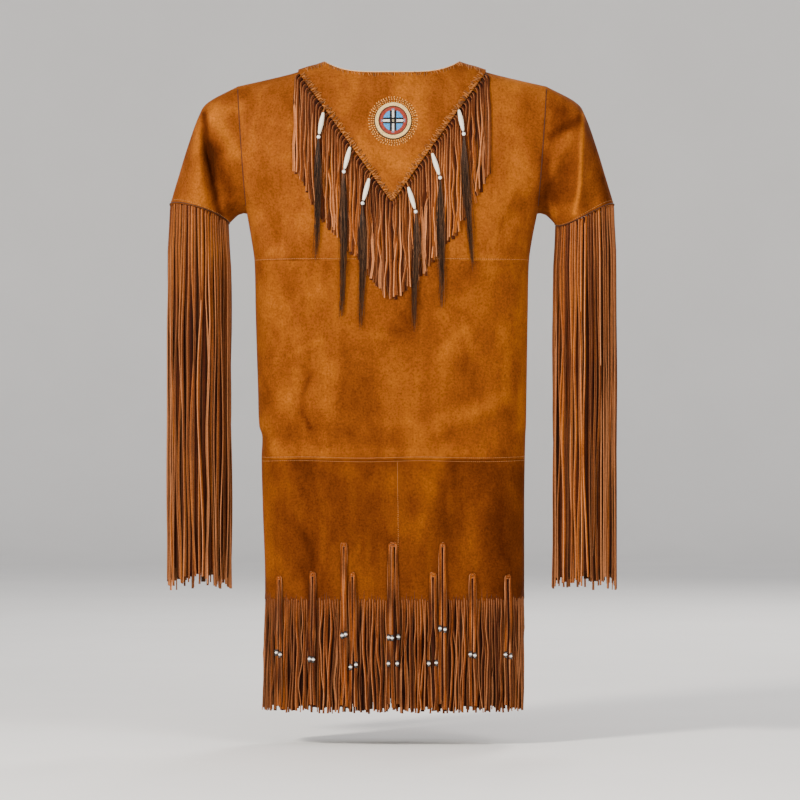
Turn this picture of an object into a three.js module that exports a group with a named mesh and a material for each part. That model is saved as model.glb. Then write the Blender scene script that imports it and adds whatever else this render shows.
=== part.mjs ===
// A suede fringe dress that keeps its hollow, worn form with nobody in it.
// Units are millimetres. +Z is up, the front faces -Y, and the origin lies on the line
// where the shoulders bear, midway between the two sleeves.
import * as THREE from "three";

// Cloth and seams
const SUEDE = 1.6; // thickness of a panel
const SEAM_GAP = 0.3; // between two pieces that are sewn edge to edge
const LAY_GAP = 0.6; // between a piece and the panel that it lies on

// Heights of the cut lines
const UPPER_SEAM_Z = -321;
const LOWER_SEAM_Z = -656;
const HEM_Z = -891; // where the slits of the hem fringe begin
const CENTRE_SEAM_X = 7; // the skirt's upright seam, a little off the middle

// Body sections: how far the cloth reaches left, right, to the front and to the back
const SECTIONS = [
  { z: -238, left: 248, right: 248, front: 104, back: 96 },
  { z: -284, left: 240, right: 239, front: 107, back: 94 },
  { z: -321, left: 235, right: 234, front: 106, back: 91 },
  { z: -411, left: 233, right: 232, front: 102, back: 90 },
  { z: -542, left: 229, right: 230, front: 98, back: 94 },
  { z: -600, left: 227, right: 229, front: 97, back: 96 },
  { z: -617, left: 222, right: 228, front: 97, back: 96 },
  { z: -656, left: 223, right: 227, front: 97, back: 96 },
  { z: -738, left: 221, right: 226, front: 97, back: 97 },
  { z: -869, left: 217, right: 226, front: 98, back: 98 },
  { z: -1090, left: 221, right: 224, front: 99, back: 99 },
];
const SQUARENESS = 2.6; // 2 is an ellipse, and more is boxier

// Shoulder line, continued over the neck as it would run if the neck were closed
const RIDGE = [
  { x: -60, z: 37 },
  { x: 0, z: 46 },
  { x: 60, z: 37 },
  { x: 116, z: 20 },
  { x: 163, z: 4 },
  { x: 215, z: -9 },
  { x: 264, z: -20 },
];
const ROUNDING_Z = -190; // above this the front and back lean together to the shoulder line
const NECK = { half: 116, frontZ: -1, rise: 21, power: 4 };

// Armhole: a straight line seen from the front, an oval seen from the side
const SHOULDER_TIP = { x: 264, z: -20 };
const UNDERARM = { x: 248, z: -238 };
const ARMHOLE = { depthShare: 0.72, roundHeight: 100 };

// Sleeve sections from the armhole to the cuff: outer edge, under edge, and half depths
const SLEEVE = [
  { topX: 264, topZ: -20, underX: 248, underZ: -238, front: 74, back: 68 },
  { topX: 314, topZ: -47, underX: 253, underZ: -237, front: 74, back: 68 },
  { topX: 331, topZ: -72, underX: 257, underZ: -238, front: 72, back: 67 },
  { topX: 350, topZ: -125, underX: 263, underZ: -240, front: 68, back: 65 },
  { topX: 366, topZ: -178, underX: 270, underZ: -246, front: 65, back: 63 },
  { topX: 380, topZ: -225, underX: 279, underZ: -255, front: 62, back: 61 },
];
const CUFF_BOW = { left: 6, right: -5 }; // how far the cuff's front edge bows up or down

// Folds: a ridge or a trough along a line seen from the front, width to either side of it
const FOLDS = [
  { on: "front", x0: -150, z0: -650, x1: -122, z1: -850, width: 26, rise: -6 },
  { on: "front", x0: -88, z0: -690, x1: -78, z1: -880, width: 24, rise: 4 },
  { on: "front", x0: 66, z0: -650, x1: 54, z1: -820, width: 22, rise: 5 },
  { on: "front", x0: 132, z0: -670, x1: 106, z1: -860, width: 28, rise: -6 },
  { on: "front", x0: 190, z0: -680, x1: 198, z1: -890, width: 18, rise: 3 },
  { on: "front", x0: 60, z0: -612, x1: 206, z1: -560, width: 15, rise: 4 },
  { on: "front", x0: -130, z0: -480, x1: -152, z1: -570, width: 11, rise: -4 },
  { on: "front", x0: -236, z0: -218, x1: -180, z1: -290, width: 13, rise: -4 },
  { on: "front", x0: 236, z0: -214, x1: 176, z1: -280, width: 13, rise: -4 },
  { on: "back", x0: -120, z0: -640, x1: -140, z1: -870, width: 26, rise: -6 },
  { on: "back", x0: -34, z0: -680, x1: -44, z1: -880, width: 24, rise: 5 },
  { on: "back", x0: 110, z0: -650, x1: 128, z1: -860, width: 28, rise: -6 },
  { on: "back", x0: -70, z0: -590, x1: 90, z1: -560, width: 15, rise: 4 },
  { on: "back", x0: -236, z0: -218, x1: -176, z1: -300, width: 14, rise: -4 },
  { on: "back", x0: 236, z0: -214, x1: 182, z1: -296, width: 14, rise: -4 },
  { on: "sleeve_front", x0: -322, z0: -66, x1: -298, z1: -250, width: 10, rise: -10 },
  { on: "sleeve_front", x0: -344, z0: -100, x1: -342, z1: -235, width: 15, rise: 4 },
  { on: "sleeve_front", x0: -312, z0: -112, x1: -256, z1: -214, width: 11, rise: 5 },
  { on: "sleeve_front", x0: 326, z0: -64, x1: 316, z1: -262, width: 11, rise: 8 },
  { on: "sleeve_front", x0: 318, z0: -74, x1: 262, z1: -108, width: 10, rise: -6 },
  { on: "sleeve_front", x0: 258, z0: -170, x1: 292, z1: -250, width: 13, rise: -7 },
  { on: "sleeve_back", x0: -318, z0: -70, x1: -296, z1: -240, width: 12, rise: -7 },
  { on: "sleeve_back", x0: 320, z0: -72, x1: 298, z1: -244, width: 12, rise: -7 },
];

// Yoke: a pointed layer on the chest, from shoulder to shoulder
const YOKE = { half: 160, sideZ: 0, pointZ: -223, thick: 1.4, lift: 2.9, layGap: 1.4, edgeBand: 36 };
const YOKE_STRIP = { under: 9, below: 1.5, thick: 1.2 };

// Fringes: number of strands, strand width as a share of its pitch, and lengths
const YOKE_FRINGE = { strands: 41, share: 0.7, sideLength: 168, midLength: 182, levels: 4 };
const SLEEVE_FRINGE = { strands: 34, share: 0.66, tipZ: -868, levels: 3, flare: 5 };
const HEM_FRINGE = { strands: 26, share: 0.68, tipZ: -1083, levels: 2 };
const STRIP_HEIGHT = 8;
const STRAND_SWAY = 2.4; // how far a strand wanders sideways
const TIP_SPREAD = 7; // how unevenly the strands are cut

// Laces tied through the skirt, hanging over the hem fringe
const LACES = [
  { x: -189, topZ: -854, tails: 2 },
  { x: -134, topZ: -846, tails: 2 },
  { x: -80, topZ: -796, tails: 2 },
  { x: -65, topZ: -847, tails: 2 },
  { x: 1, topZ: -796, tails: 3 },
  { x: 68, topZ: -847, tails: 2 },
  { x: 85, topZ: -797, tails: 2 },
  { x: 135, topZ: -850, tails: 2 },
  { x: 195, topZ: -852, tails: 2 },
];
const LACE = { width: 4.2, pitch: 6.4, thick: 1.4, bridge: 6, tipZ: -1076, gap: 1 };

// Drops on the yoke's edge: a bone tube, a round bead and a lock of hair
const DROPS = [
  { x: -115, z: -71, lean: -0.19, hairZ: -329, drift: -5 },
  { x: -70, z: -129, lean: -0.25, hairZ: -421, drift: -2 },
  { x: -38, z: -182, lean: -0.26, hairZ: -443, drift: -2 },
  { x: 27, z: -196, lean: 0.3, hairZ: -443, drift: -4 },
  { x: 67, z: -139, lean: 0.32, hairZ: -406, drift: 0 },
  { x: 112, z: -66, lean: 0.2, hairZ: -341, drift: 16 },
];
const BONE = { length: 38, middleRadius: 3.9, endRadius: 2.1 };
const BEAD_RADIUS = 3.1;
const HAIR = { width: 11, thick: 4.5, levels: 4 };
const DROP_LIFT = 2.1; // clear of the fringe that it hangs over
const STRAND_SPAN = 64; // between the levels of a yoke strand

// Beaded disc on the yoke
const ROSETTE = { x: 2, z: -84, radius: 30.5, thick: 2.2, rimWidth: 5, rimRise: 1.2 };

// Grid sizes
const BODY_COLUMNS = 24;
const BODICE_ROWS = 11;
const PANEL_ROWS = 4;
const SLEEVE_COLUMNS = 20;
const SLEEVE_ROWS = 10;
const YOKE_COLUMNS = 20;
const YOKE_ROWS = 10;

const { lerp, clamp, smoothstep } = THREE.MathUtils;

// A smooth curve through a table: the value of one column where another has that key
function along(table, keyColumn, valueColumn, key) {
  const rising = table[table.length - 1][keyColumn] > table[0][keyColumn];
  let i = table.findIndex((row) => (rising ? row[keyColumn] >= key : row[keyColumn] <= key));
  if (i < 0) i = table.length - 1;
  i = Math.max(1, i);
  const row = (k) => table[clamp(k, 0, table.length - 1)];
  const span = row(i)[keyColumn] - row(i - 1)[keyColumn];
  const t = clamp((key - row(i - 1)[keyColumn]) / span, 0, 1);
  const slope = (k) => {
    const run = row(k + 1)[keyColumn] - row(k - 1)[keyColumn];
    return ((row(k + 1)[valueColumn] - row(k - 1)[valueColumn]) / run) * span;
  };
  const a = row(i - 1)[valueColumn];
  const b = row(i)[valueColumn];
  const bend = t * (1 - t);
  const straight = lerp(a, b, t);
  const eased = bend * ((slope(i - 1) - (b - a)) * (1 - t) - (slope(i) - (b - a)) * t);
  return straight + eased;
}

// A number from -1 to 1 that is the same every time for the same two inputs
function wander(a, b) {
  const wave = Math.sin(a * 12.9898 + b * 78.233) * 43758.5453;
  return 2 * (wave - Math.floor(wave)) - 1;
}

// How far the folds lift the cloth at a place seen from the front
function foldLift(on, x, z) {
  let lift = 0;
  for (const fold of FOLDS) {
    if (fold.on !== on) continue;
    const runX = fold.x1 - fold.x0;
    const runZ = fold.z1 - fold.z0;
    const length = Math.hypot(runX, runZ);
    const t = ((x - fold.x0) * runX + (z - fold.z0) * runZ) / length ** 2;
    const away = ((x - fold.x0) * runZ - (z - fold.z0) * runX) / length;
    const fade = smoothstep(t, -0.15, 0.25) * (1 - smoothstep(t, 0.75, 1.15));
    lift += fold.rise * fade * Math.exp(-((away / fold.width) ** 2));
  }
  return lift;
}

const ridgeZ = (x) => along(RIDGE, "x", "z", Math.abs(x));

const neckZ = (x) => NECK.frontZ + NECK.rise * (Math.abs(x) / NECK.half) ** NECK.power;

// Half width of the body at a height: the side seam, or above the underarm the armhole
function halfWidth(x, z) {
  if (z <= UNDERARM.z) return along(SECTIONS, "z", x < 0 ? "left" : "right", z);
  const t = (z - UNDERARM.z) / (SHOULDER_TIP.z - UNDERARM.z);
  return lerp(UNDERARM.x, SHOULDER_TIP.x, t);
}

// How open the armhole is at a height, from 0 at the underarm to its full share of the depth
function armholeShare(z) {
  const t = clamp((z - UNDERARM.z) / ARMHOLE.roundHeight, 0, 1);
  return ARMHOLE.depthShare * Math.sqrt(1 - (1 - t) ** 2);
}

// How far the front or the back stands from the middle plane
function bodyDepth(side, x, z) {
  const reach = along(SECTIONS, "z", side, z);
  const open = armholeShare(z) ** SQUARENESS;
  const out = Math.min(1, Math.abs(x) / halfWidth(x, z)) ** SQUARENESS;
  const across = Math.max(0, 1 - (1 - open) * out) ** (1 / SQUARENESS);
  const rise = clamp((z - ROUNDING_Z) / (ridgeZ(x) - ROUNDING_Z), 0, 1);
  const round = across * Math.sqrt(1 - rise ** 2);
  return reach * round + foldLift(side, x, z) * Math.min(1, round * 1.5);
}

// A point of the chest or the skirt's front, moved out by lift along the cloth's normal
function onFront(x, z, lift) {
  const step = 0.5;
  const top = Math.min(z, ridgeZ(x) - 2 * step);
  const here = bodyDepth("front", x, top);
  const slopeX = (bodyDepth("front", x + step, top) - bodyDepth("front", x - step, top)) / (2 * step);
  const slopeZ = (here - bodyDepth("front", x, top - step)) / step;
  const normal = new THREE.Vector3(-slopeX, -1, -slopeZ).normalize();
  const depth = bodyDepth("front", x, z) + SEAM_GAP / 2;
  return new THREE.Vector3(x, -depth, z).addScaledVector(normal, lift);
}

// How far the chest bulges out past a straight line between heights that are span apart
function bulge(x, z, span) {
  const depth = (height) => bodyDepth("front", x, Math.min(height, ridgeZ(x) - 1));
  const past = (from, to) => depth((from + to) / 2) - (depth(from) + depth(to)) / 2;
  return 1.15 * Math.max(0, past(z, z + span), past(z, z - span));
}

// A closed body from points and quads, with its faces turned out
function closedBody(points, quads) {
  const positions = new Float32Array(points.flatMap((p) => [p.x, p.y, p.z]));
  const faces = quads.flatMap(([a, b, c, d]) => [
    [a, b, c],
    [a, c, d],
  ]);
  let volume = 0;
  for (const [a, b, c] of faces) {
    volume += points[a].dot(new THREE.Vector3().crossVectors(points[b], points[c]));
  }
  const turned = volume < 0 ? faces.map(([a, b, c]) => [a, c, b]) : faces;
  const geometry = new THREE.BufferGeometry();
  geometry.setAttribute("position", new THREE.BufferAttribute(positions, 3));
  geometry.setIndex(turned.flat());
  return geometry;
}

// A cloth wall from two grids of the same size, outer[column][row] and inner[column][row]
function wall(outer, inner, ring = false) {
  const rows = outer[0].length;
  const columns = outer.length;
  const points = [...outer.flat(), ...inner.flat()];
  const at = (column, row) => (column % columns) * rows + row;
  const behind = outer.flat().length;
  const quads = [];
  const last = ring ? columns : columns - 1;
  for (let i = 0; i < last; i++) {
    for (let j = 0; j < rows - 1; j++) {
      const [a, b, c, d] = [at(i, j), at(i + 1, j), at(i + 1, j + 1), at(i, j + 1)];
      quads.push([a, b, c, d]);
      quads.push([behind + d, behind + c, behind + b, behind + a]);
    }
    const [low, lowNext] = [at(i, 0), at(i + 1, 0)];
    const [high, highNext] = [at(i, rows - 1), at(i + 1, rows - 1)];
    quads.push([behind + low, behind + lowNext, lowNext, low]);
    quads.push([high, highNext, behind + highNext, behind + high]);
  }
  for (let j = 0; !ring && j < rows - 1; j++) {
    const [start, startUp] = [at(0, j), at(0, j + 1)];
    const [end, endUp] = [at(columns - 1, j), at(columns - 1, j + 1)];
    quads.push([start, startUp, behind + startUp, behind + start]);
    quads.push([behind + end, behind + endUp, endUp, end]);
  }
  return closedBody(points, quads);
}

// The inner grid of a wall: each point moved in along the grid's own normal.
// Where the cloth meets its other half on the middle plane it is moved in that plane.
function thickened(outer, turn) {
  const columns = outer.length;
  const rows = outer[0].length;
  return outer.map((column, i) =>
    column.map((point, j) => {
      const [west, east] = [outer[Math.max(0, i - 1)][j], outer[Math.min(columns - 1, i + 1)][j]];
      const [south, north] = [column[Math.max(0, j - 1)], column[Math.min(rows - 1, j + 1)]];
      const wide = new THREE.Vector3().subVectors(east, west);
      const tall = new THREE.Vector3().subVectors(north, south);
      const normal = wide.cross(tall).multiplyScalar(turn);
      if (Math.abs(point.y) <= SEAM_GAP) normal.y = 0;
      return point.clone().addScaledVector(normal.normalize(), -SUEDE);
    }),
  );
}

// Columns crowd towards the side seams, where the section turns
const crowd = (u) => Math.sign(u) * (1 - (1 - Math.abs(u)) ** 1.7);

const acrossX = (u, z) => crowd(u) * halfWidth(u, z) + CENTRE_SEAM_X * (1 - Math.abs(crowd(u)));

// A front or back panel between two cut lines; bottomZ and topZ take the column from -1 to 1
function bodyPanel(side, uStart, uEnd, columns, rows, bottomZ, topZ, ease) {
  const out = side === "front" ? -1 : 1;
  const outer = [];
  for (let i = 0; i <= columns; i++) {
    const u = lerp(uStart, uEnd, i / columns);
    const column = [];
    for (let j = 0; j <= rows; j++) {
      const z = lerp(bottomZ(u), topZ(u), ease(j / rows));
      const atCentre = Math.abs(u) < 1e-9 && uStart * uEnd === 0;
      const seam = atCentre ? (uStart + uEnd > 0 ? 0.5 : -0.5) * SEAM_GAP : 0;
      const x = acrossX(u, z) + seam;
      column.push(new THREE.Vector3(x, out * (bodyDepth(side, x, z) + SEAM_GAP / 2), z));
    }
    outer.push(column);
  }
  return wall(outer, thickened(outer, -out));
}

// The top edge of a bodice: the neckline, and past it the shoulder seam
function bodiceTop(u) {
  let z = SHOULDER_TIP.z;
  for (let pass = 0; pass < 6; pass++) {
    const x = acrossX(u, z);
    z = Math.abs(x) < NECK.half ? Math.min(neckZ(x), ridgeZ(x)) : ridgeZ(x);
  }
  return z;
}

const even = (t) => t;
const crowdedTop = (t) => Math.sin((t * Math.PI) / 2);

function bodice(side) {
  const bottom = () => UPPER_SEAM_Z + SEAM_GAP / 2;
  return bodyPanel(side, -1, 1, BODY_COLUMNS, BODICE_ROWS, bottom, bodiceTop, crowdedTop);
}

function middlePanel(side) {
  const bottom = () => LOWER_SEAM_Z + SEAM_GAP / 2;
  const top = () => UPPER_SEAM_Z - SEAM_GAP / 2;
  return bodyPanel(side, -1, 1, BODY_COLUMNS, PANEL_ROWS, bottom, top, even);
}

function skirtPanel(side, uStart, uEnd) {
  const bottom = () => HEM_Z;
  const top = () => LOWER_SEAM_Z - SEAM_GAP / 2;
  return bodyPanel(side, uStart, uEnd, BODY_COLUMNS / 2, PANEL_ROWS, bottom, top, even);
}

// A point of the sleeve: s runs from 0 at the armhole to 1 at the cuff, turn from 0 on the
// outer edge over the front to half a circle at the underarm. Inset goes into the wall.
function onSleeve(hand, s, turn, inset) {
  const mirror = hand === "left" ? -1 : 1;
  const rows = SLEEVE.map((row, index) => ({ ...row, index }));
  const pick = (column) => along(rows, "index", column, s * (SLEEVE.length - 1));
  const top = new THREE.Vector3(pick("topX"), 0, pick("topZ"));
  const under = new THREE.Vector3(pick("underX"), 0, pick("underZ"));
  const centre = top.clone().add(under).multiplyScalar(0.5);
  const axis = top.clone().sub(under).multiplyScalar(0.5);
  const [c, q] = [Math.cos(turn), Math.sin(turn)];
  const side = q >= 0 ? "front" : "back";
  const place = centre.clone().addScaledVector(axis, c);
  const ownDepth = pick(side) * Math.abs(q);
  const armholeZ = lerp(UNDERARM.z, SHOULDER_TIP.z, (c + 1) / 2);
  const bodyEdge = bodyDepth(side, mirror * halfWidth(mirror, armholeZ), armholeZ);
  const joined = smoothstep(s, 0, 0.3);
  const depth = lerp(bodyEdge, ownDepth, joined) + SEAM_GAP / 2;
  const mask = joined * Math.min(1, Math.abs(q) * 1.6);
  const lift = foldLift("sleeve_" + side, mirror * place.x, place.z) * mask;
  const out = q >= 0 ? -1 : 1;
  const radius = axis.length();
  const normal = axis.clone().multiplyScalar((c * pick(side)) / radius);
  normal.y = out * Math.abs(q) * radius;
  normal.normalize();
  place.y = out * (depth + lift);
  place.addScaledVector(normal, -inset);
  place.z += CUFF_BOW[hand] * Math.max(0, q) * smoothstep(s, 0.6, 1);
  place.x = mirror * (place.x + SEAM_GAP);
  return place;
}

function sleeve(hand) {
  const grid = (inset) =>
    Array.from({ length: SLEEVE_COLUMNS }, (_, i) =>
      Array.from({ length: SLEEVE_ROWS + 1 }, (_, j) =>
        onSleeve(hand, j / SLEEVE_ROWS, (2 * Math.PI * i) / SLEEVE_COLUMNS, inset),
      ),
    );
  return wall(grid(0), grid(SUEDE), true);
}

// A strip with strands cut or sewn below it, as one body. rail(q, drop, inset) gives a point
// of the strip or strand: q runs along it, drop goes down from its top, inset into its thickness.
// Levels of a strand are closer together near its root when bunch is more than 1.
function fringe({ strands, share, levels, ring, rail, stripDrop, tipDrop, thick, seed, bunch = 1 }) {
  const cells = ring ? 2 * strands : 2 * strands - 1;
  const pitch = 1 / (ring ? strands : strands - 1 + share);
  const boundary = (k) => pitch * (Math.floor(k / 2) + (k % 2 ? share : 0));
  const points = [];
  const quads = [];
  const add = (q, drop, inset) => points.push(rail(q, drop, inset)) - 1;
  const posts = [];
  for (let k = 0; k < (ring ? cells : cells + 1); k++) {
    const q = boundary(k);
    posts.push([add(q, 0, 0), add(q, 0, thick), add(q, stripDrop(q), 0), add(q, stripDrop(q), thick)]);
  }
  for (let k = 0; k < cells; k++) {
    const [topA, topInA, lowA, lowInA] = posts[k];
    const [topB, topInB, lowB, lowInB] = posts[(k + 1) % posts.length];
    quads.push([lowA, lowB, topB, topA]);
    quads.push([topInA, topInB, lowInB, lowInA]);
    quads.push([topA, topB, topInB, topInA]);
    if (k % 2) {
      quads.push([lowInA, lowInB, lowB, lowA]);
      continue;
    }
    const strand = k / 2;
    const middle = (boundary(k) + boundary(k + 1)) / 2;
    const root = stripDrop(middle);
    const tip = tipDrop(middle) + TIP_SPREAD * wander(strand, seed);
    let above = [lowA, lowB, lowInB, lowInA];
    for (let level = 1; level <= levels; level++) {
      const t = (level / levels) ** bunch;
      const drop = lerp(root, tip, t);
      const span = ((tip - root) * bunch) / levels;
      const sway = STRAND_SWAY * wander(strand + level * 7, seed + 3);
      const half = (share * pitch * (1 - 0.2 * t)) / 2;
      const corner = (q, inset) => points.push(rail(q, drop, inset, sway, span)) - 1;
      const ring4 = [
        corner(middle - half, 0),
        corner(middle + half, 0),
        corner(middle + half, thick),
        corner(middle - half, thick),
      ];
      for (let side = 0; side < 4; side++) {
        const next = (side + 1) % 4;
        quads.push([ring4[side], ring4[next], above[next], above[side]]);
      }
      above = ring4;
    }
    quads.push([above[3], above[2], above[1], above[0]]);
  }
  if (!ring) {
    const [first, final] = [posts[0], posts[posts.length - 1]];
    quads.push([first[2], first[0], first[1], first[3]]);
    quads.push([final[3], final[1], final[0], final[2]]);
  }
  return closedBody(points, quads);
}

// The hem fringe goes on down from a skirt panel's edge, in the same wall
function hemFringe(side, uStart, uEnd) {
  const out = side === "front" ? -1 : 1;
  const clear = SEAM_GAP / 2 / 225;
  const rail = (q, drop, inset, sway = 0) => {
    const u = lerp(uStart, uEnd, clear + q * (1 - 2 * clear));
    const z = HEM_Z - SEAM_GAP - drop;
    const half = halfWidth(u, z);
    const share = clamp(Math.abs(u), 0, 1);
    const x = Math.sign(uStart + uEnd) * (crowdEven(share) * half + 0.5) + CENTRE_SEAM_X * (1 - share);
    const held = clamp(x + sway * (1 - share), -half + 0.1, half - 0.1);
    const depth = bodyDepth(side, held, z) + SEAM_GAP / 2;
    const normal = new THREE.Vector3(
      (Math.sign(held) * Math.abs(held) ** (SQUARENESS - 1)) / half ** SQUARENESS,
      (out * depth ** (SQUARENESS - 1)) / along(SECTIONS, "z", side, z) ** SQUARENESS,
      0,
    ).normalize();
    return new THREE.Vector3(held, out * depth, z).addScaledVector(normal, -inset);
  };
  return fringe({
    ...HEM_FRINGE,
    ring: false,
    rail,
    stripDrop: () => STRIP_HEIGHT,
    tipDrop: () => HEM_Z - HEM_FRINGE.tipZ,
    thick: SUEDE,
    seed: uStart * 3 + out * 5 + 11,
  });
}

// Strands are cut at an even pitch round the section rather than crowded at its side
const crowdEven = (u) => 1 - (1 - u) ** 1.35;

// The sleeve fringe hangs straight down from the slanting cuff
function sleeveFringe(hand) {
  const rail = (q, drop, inset, sway = 0) => {
    const turn = 2 * Math.PI * q;
    const place = onSleeve(hand, 1, turn, 0);
    const out = new THREE.Vector3(Math.cos(turn) * (hand === "left" ? -1 : 1), -Math.sin(turn), 0);
    const flare = SLEEVE_FRINGE.flare * smoothstep(drop, 0, 90);
    place.addScaledVector(out, flare - inset);
    place.x += sway;
    place.z -= 3 * SEAM_GAP + drop;
    return place;
  };
  return fringe({
    ...SLEEVE_FRINGE,
    ring: true,
    rail,
    stripDrop: () => STRIP_HEIGHT,
    tipDrop: (q) => rail(q, 0, 0).z - SLEEVE_FRINGE.tipZ,
    thick: SUEDE,
    seed: hand === "left" ? 21 : 27,
  });
}

const yokeEdgeZ = (x) => lerp(YOKE.pointZ, YOKE.sideZ, Math.abs(x) / YOKE.half);

// The yoke lies on the chest and rises over the fringe strip that is sewn under its edge
function yokeLift(x, z) {
  const fromEdge = (z - yokeEdgeZ(x)) * 0.59;
  return lerp(YOKE.lift, YOKE.layGap, smoothstep(fromEdge, YOKE.edgeBand * 0.5, YOKE.edgeBand));
}

function yokePoint(x, z, extra) {
  return onFront(x, z, yokeLift(x, z) + extra);
}

function yoke() {
  const grid = (extra) => {
    const columns = [];
    for (let i = 0; i <= YOKE_COLUMNS; i++) {
      const u = (2 * i) / YOKE_COLUMNS - 1;
      const x = YOKE.half * u * (1.25 - 0.25 * u * u);
      const top = Math.abs(x) < NECK.half ? Math.min(neckZ(x), ridgeZ(x)) : ridgeZ(x) - 0.2;
      const bottom = Math.min(yokeEdgeZ(x), top - 3);
      const column = [];
      for (let j = 0; j <= YOKE_ROWS; j++) {
        const t = j / YOKE_ROWS;
        column.push(yokePoint(x, lerp(bottom, top, lerp(t, crowdedTop(t), 0.6)), extra));
      }
      columns.push(column);
    }
    return columns;
  };
  return wall(grid(YOKE.thick), grid(0));
}

function yokeFringe() {
  const reach = YOKE.half - 10;
  const rail = (q, drop, inset, sway = 0, span = 0) => {
    const x = lerp(-reach, reach, q);
    const edge = yokeEdgeZ(x);
    const strip = YOKE_STRIP.under + YOKE_STRIP.below;
    const start = edge + YOKE_STRIP.under;
    const z = drop <= strip ? lerp(start, edge - YOKE_STRIP.below, drop / strip) : start - drop;
    const clear = bulge(x, z, Math.min(span, start - z));
    return onFront(x + sway, z, LAY_GAP + clear + YOKE_STRIP.thick - inset);
  };
  const length = (q) => lerp(YOKE_FRINGE.midLength, YOKE_FRINGE.sideLength, Math.abs(2 * q - 1));
  return fringe({
    ...YOKE_FRINGE,
    ring: false,
    rail,
    stripDrop: () => YOKE_STRIP.under + YOKE_STRIP.below,
    tipDrop: (q) => YOKE_STRIP.under + length(q),
    thick: YOKE_STRIP.thick,
    seed: 33,
    bunch: 1.5,
  });
}

// A lace through two holes of the skirt: a short bridge with its tails hanging
function lace({ x, topZ, tails }) {
  const whole = LACE.pitch * (tails - 1) + LACE.width;
  const rail = (q, drop, inset, sway = 0) => {
    const place = x + whole * (q - 0.5) + sway * 0.35;
    return onFront(place, topZ - drop, LACE.gap + LACE.thick - inset);
  };
  return fringe({
    strands: tails,
    share: LACE.width / LACE.pitch,
    levels: 4,
    ring: false,
    rail,
    stripDrop: () => LACE.bridge,
    tipDrop: () => topZ - LACE.tipZ,
    thick: LACE.thick,
    seed: x,
  });
}

// Where a drop hangs: distance down from its top, and sideways from its own line
function onDrop(drop, down) {
  const x = drop.x + drop.lean * down;
  const z = drop.z - down;
  return onFront(x, z, DROP_LIFT + BONE.middleRadius + 0.5 * bulge(x, z, STRAND_SPAN));
}

function lathed(profile, sides, from, to) {
  const geometry = new THREE.LatheGeometry(
    profile.map(([radius, height]) => new THREE.Vector2(radius, height)),
    sides,
  );
  const up = new THREE.Vector3(0, 1, 0);
  const turn = new THREE.Quaternion().setFromUnitVectors(up, to.clone().sub(from).normalize());
  geometry.applyQuaternion(turn);
  geometry.translate(from.x, from.y, from.z);
  return geometry;
}

function bone(drop) {
  const { length, middleRadius, endRadius } = BONE;
  const profile = [
    [0, 0],
    [endRadius, 0],
    [lerp(endRadius, middleRadius, 0.8), length * 0.25],
    [middleRadius, length * 0.5],
    [lerp(endRadius, middleRadius, 0.8), length * 0.75],
    [endRadius, length],
    [0, length],
  ];
  return lathed(profile, 8, onDrop(drop, length), onDrop(drop, 0));
}

function bead(drop) {
  const profile = [];
  for (let k = 0; k <= 5; k++) {
    const turn = (k / 5) * Math.PI;
    const radius = k % 5 ? BEAD_RADIUS * Math.sin(turn) : 0;
    profile.push([radius, BEAD_RADIUS * (1 - Math.cos(turn))]);
  }
  const below = BONE.length + SEAM_GAP;
  return lathed(profile, 8, onDrop(drop, below + 2 * BEAD_RADIUS), onDrop(drop, 0));
}

// A lock of hair, thickest a third of the way down and drawn to a point
function hair(drop) {
  const startDown = BONE.length + 2 * BEAD_RADIUS + 2 * SEAM_GAP;
  const fullDown = drop.z - drop.hairZ;
  const rows = [];
  for (let level = 0; level <= HAIR.levels; level++) {
    const t = level / HAIR.levels;
    const down = lerp(startDown, fullDown, t);
    const lean = drop.lean * startDown + drop.drift * t ** 2;
    const swell = 0.35 + 0.65 * Math.sin(Math.min(1, t * 2.4) * (Math.PI / 2)) - 0.85 * t ** 2;
    rows.push({ x: drop.x + lean, z: drop.z - down, half: (HAIR.width / 2) * swell });
  }
  const corner = (row, side, inset) => {
    const clear = 1.55 * bulge(row.x, row.z, STRAND_SPAN);
    return onFront(row.x + side * row.half, row.z, DROP_LIFT + 0.5 + clear + inset);
  };
  const thick = (row) => (HAIR.thick * row.half * 2) / HAIR.width + 0.6;
  const outer = [-1, 1].map((side) => rows.map((row) => corner(row, side, thick(row))));
  const inner = [-1, 1].map((side) => rows.map((row) => corner(row, side, 0)));
  return wall(outer, inner);
}

// The beaded disc follows the yoke that it is sewn to, with a raised rim
function rosette() {
  const { x, z, radius, thick, rimWidth, rimRise } = ROSETTE;
  const rings = [
    { r: 6, top: thick },
    { r: radius - rimWidth - 1.5, top: thick },
    { r: radius - rimWidth, top: thick + rimRise },
    { r: radius - 1.5, top: thick + rimRise },
    { r: radius, top: thick * 0.5 },
  ];
  const sides = 24;
  const place = (r, turn, lift) =>
    yokePoint(x + r * Math.cos(turn), z + r * Math.sin(turn), YOKE.thick + LAY_GAP + lift);
  const points = [place(0, 0, thick), place(0, 0, 0)];
  const quads = [];
  const at = (ring, side) => 2 + ring * sides + (side % sides);
  for (const { r, top } of [...rings, { r: radius, top: 0 }]) {
    for (let k = 0; k < sides; k++) points.push(place(r, (2 * Math.PI * k) / sides, top));
  }
  for (let k = 0; k < sides; k += 2) {
    quads.push([0, at(0, k), at(0, k + 1), at(0, k + 2)]);
    quads.push([at(rings.length, k + 2), at(rings.length, k + 1), at(rings.length, k), 1]);
  }
  for (let ring = 0; ring < rings.length; ring++) {
    for (let k = 0; k < sides; k++) {
      quads.push([at(ring, k), at(ring + 1, k), at(ring + 1, k + 1), at(ring, k + 1)]);
    }
  }
  return closedBody(points, quads);
}

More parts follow.
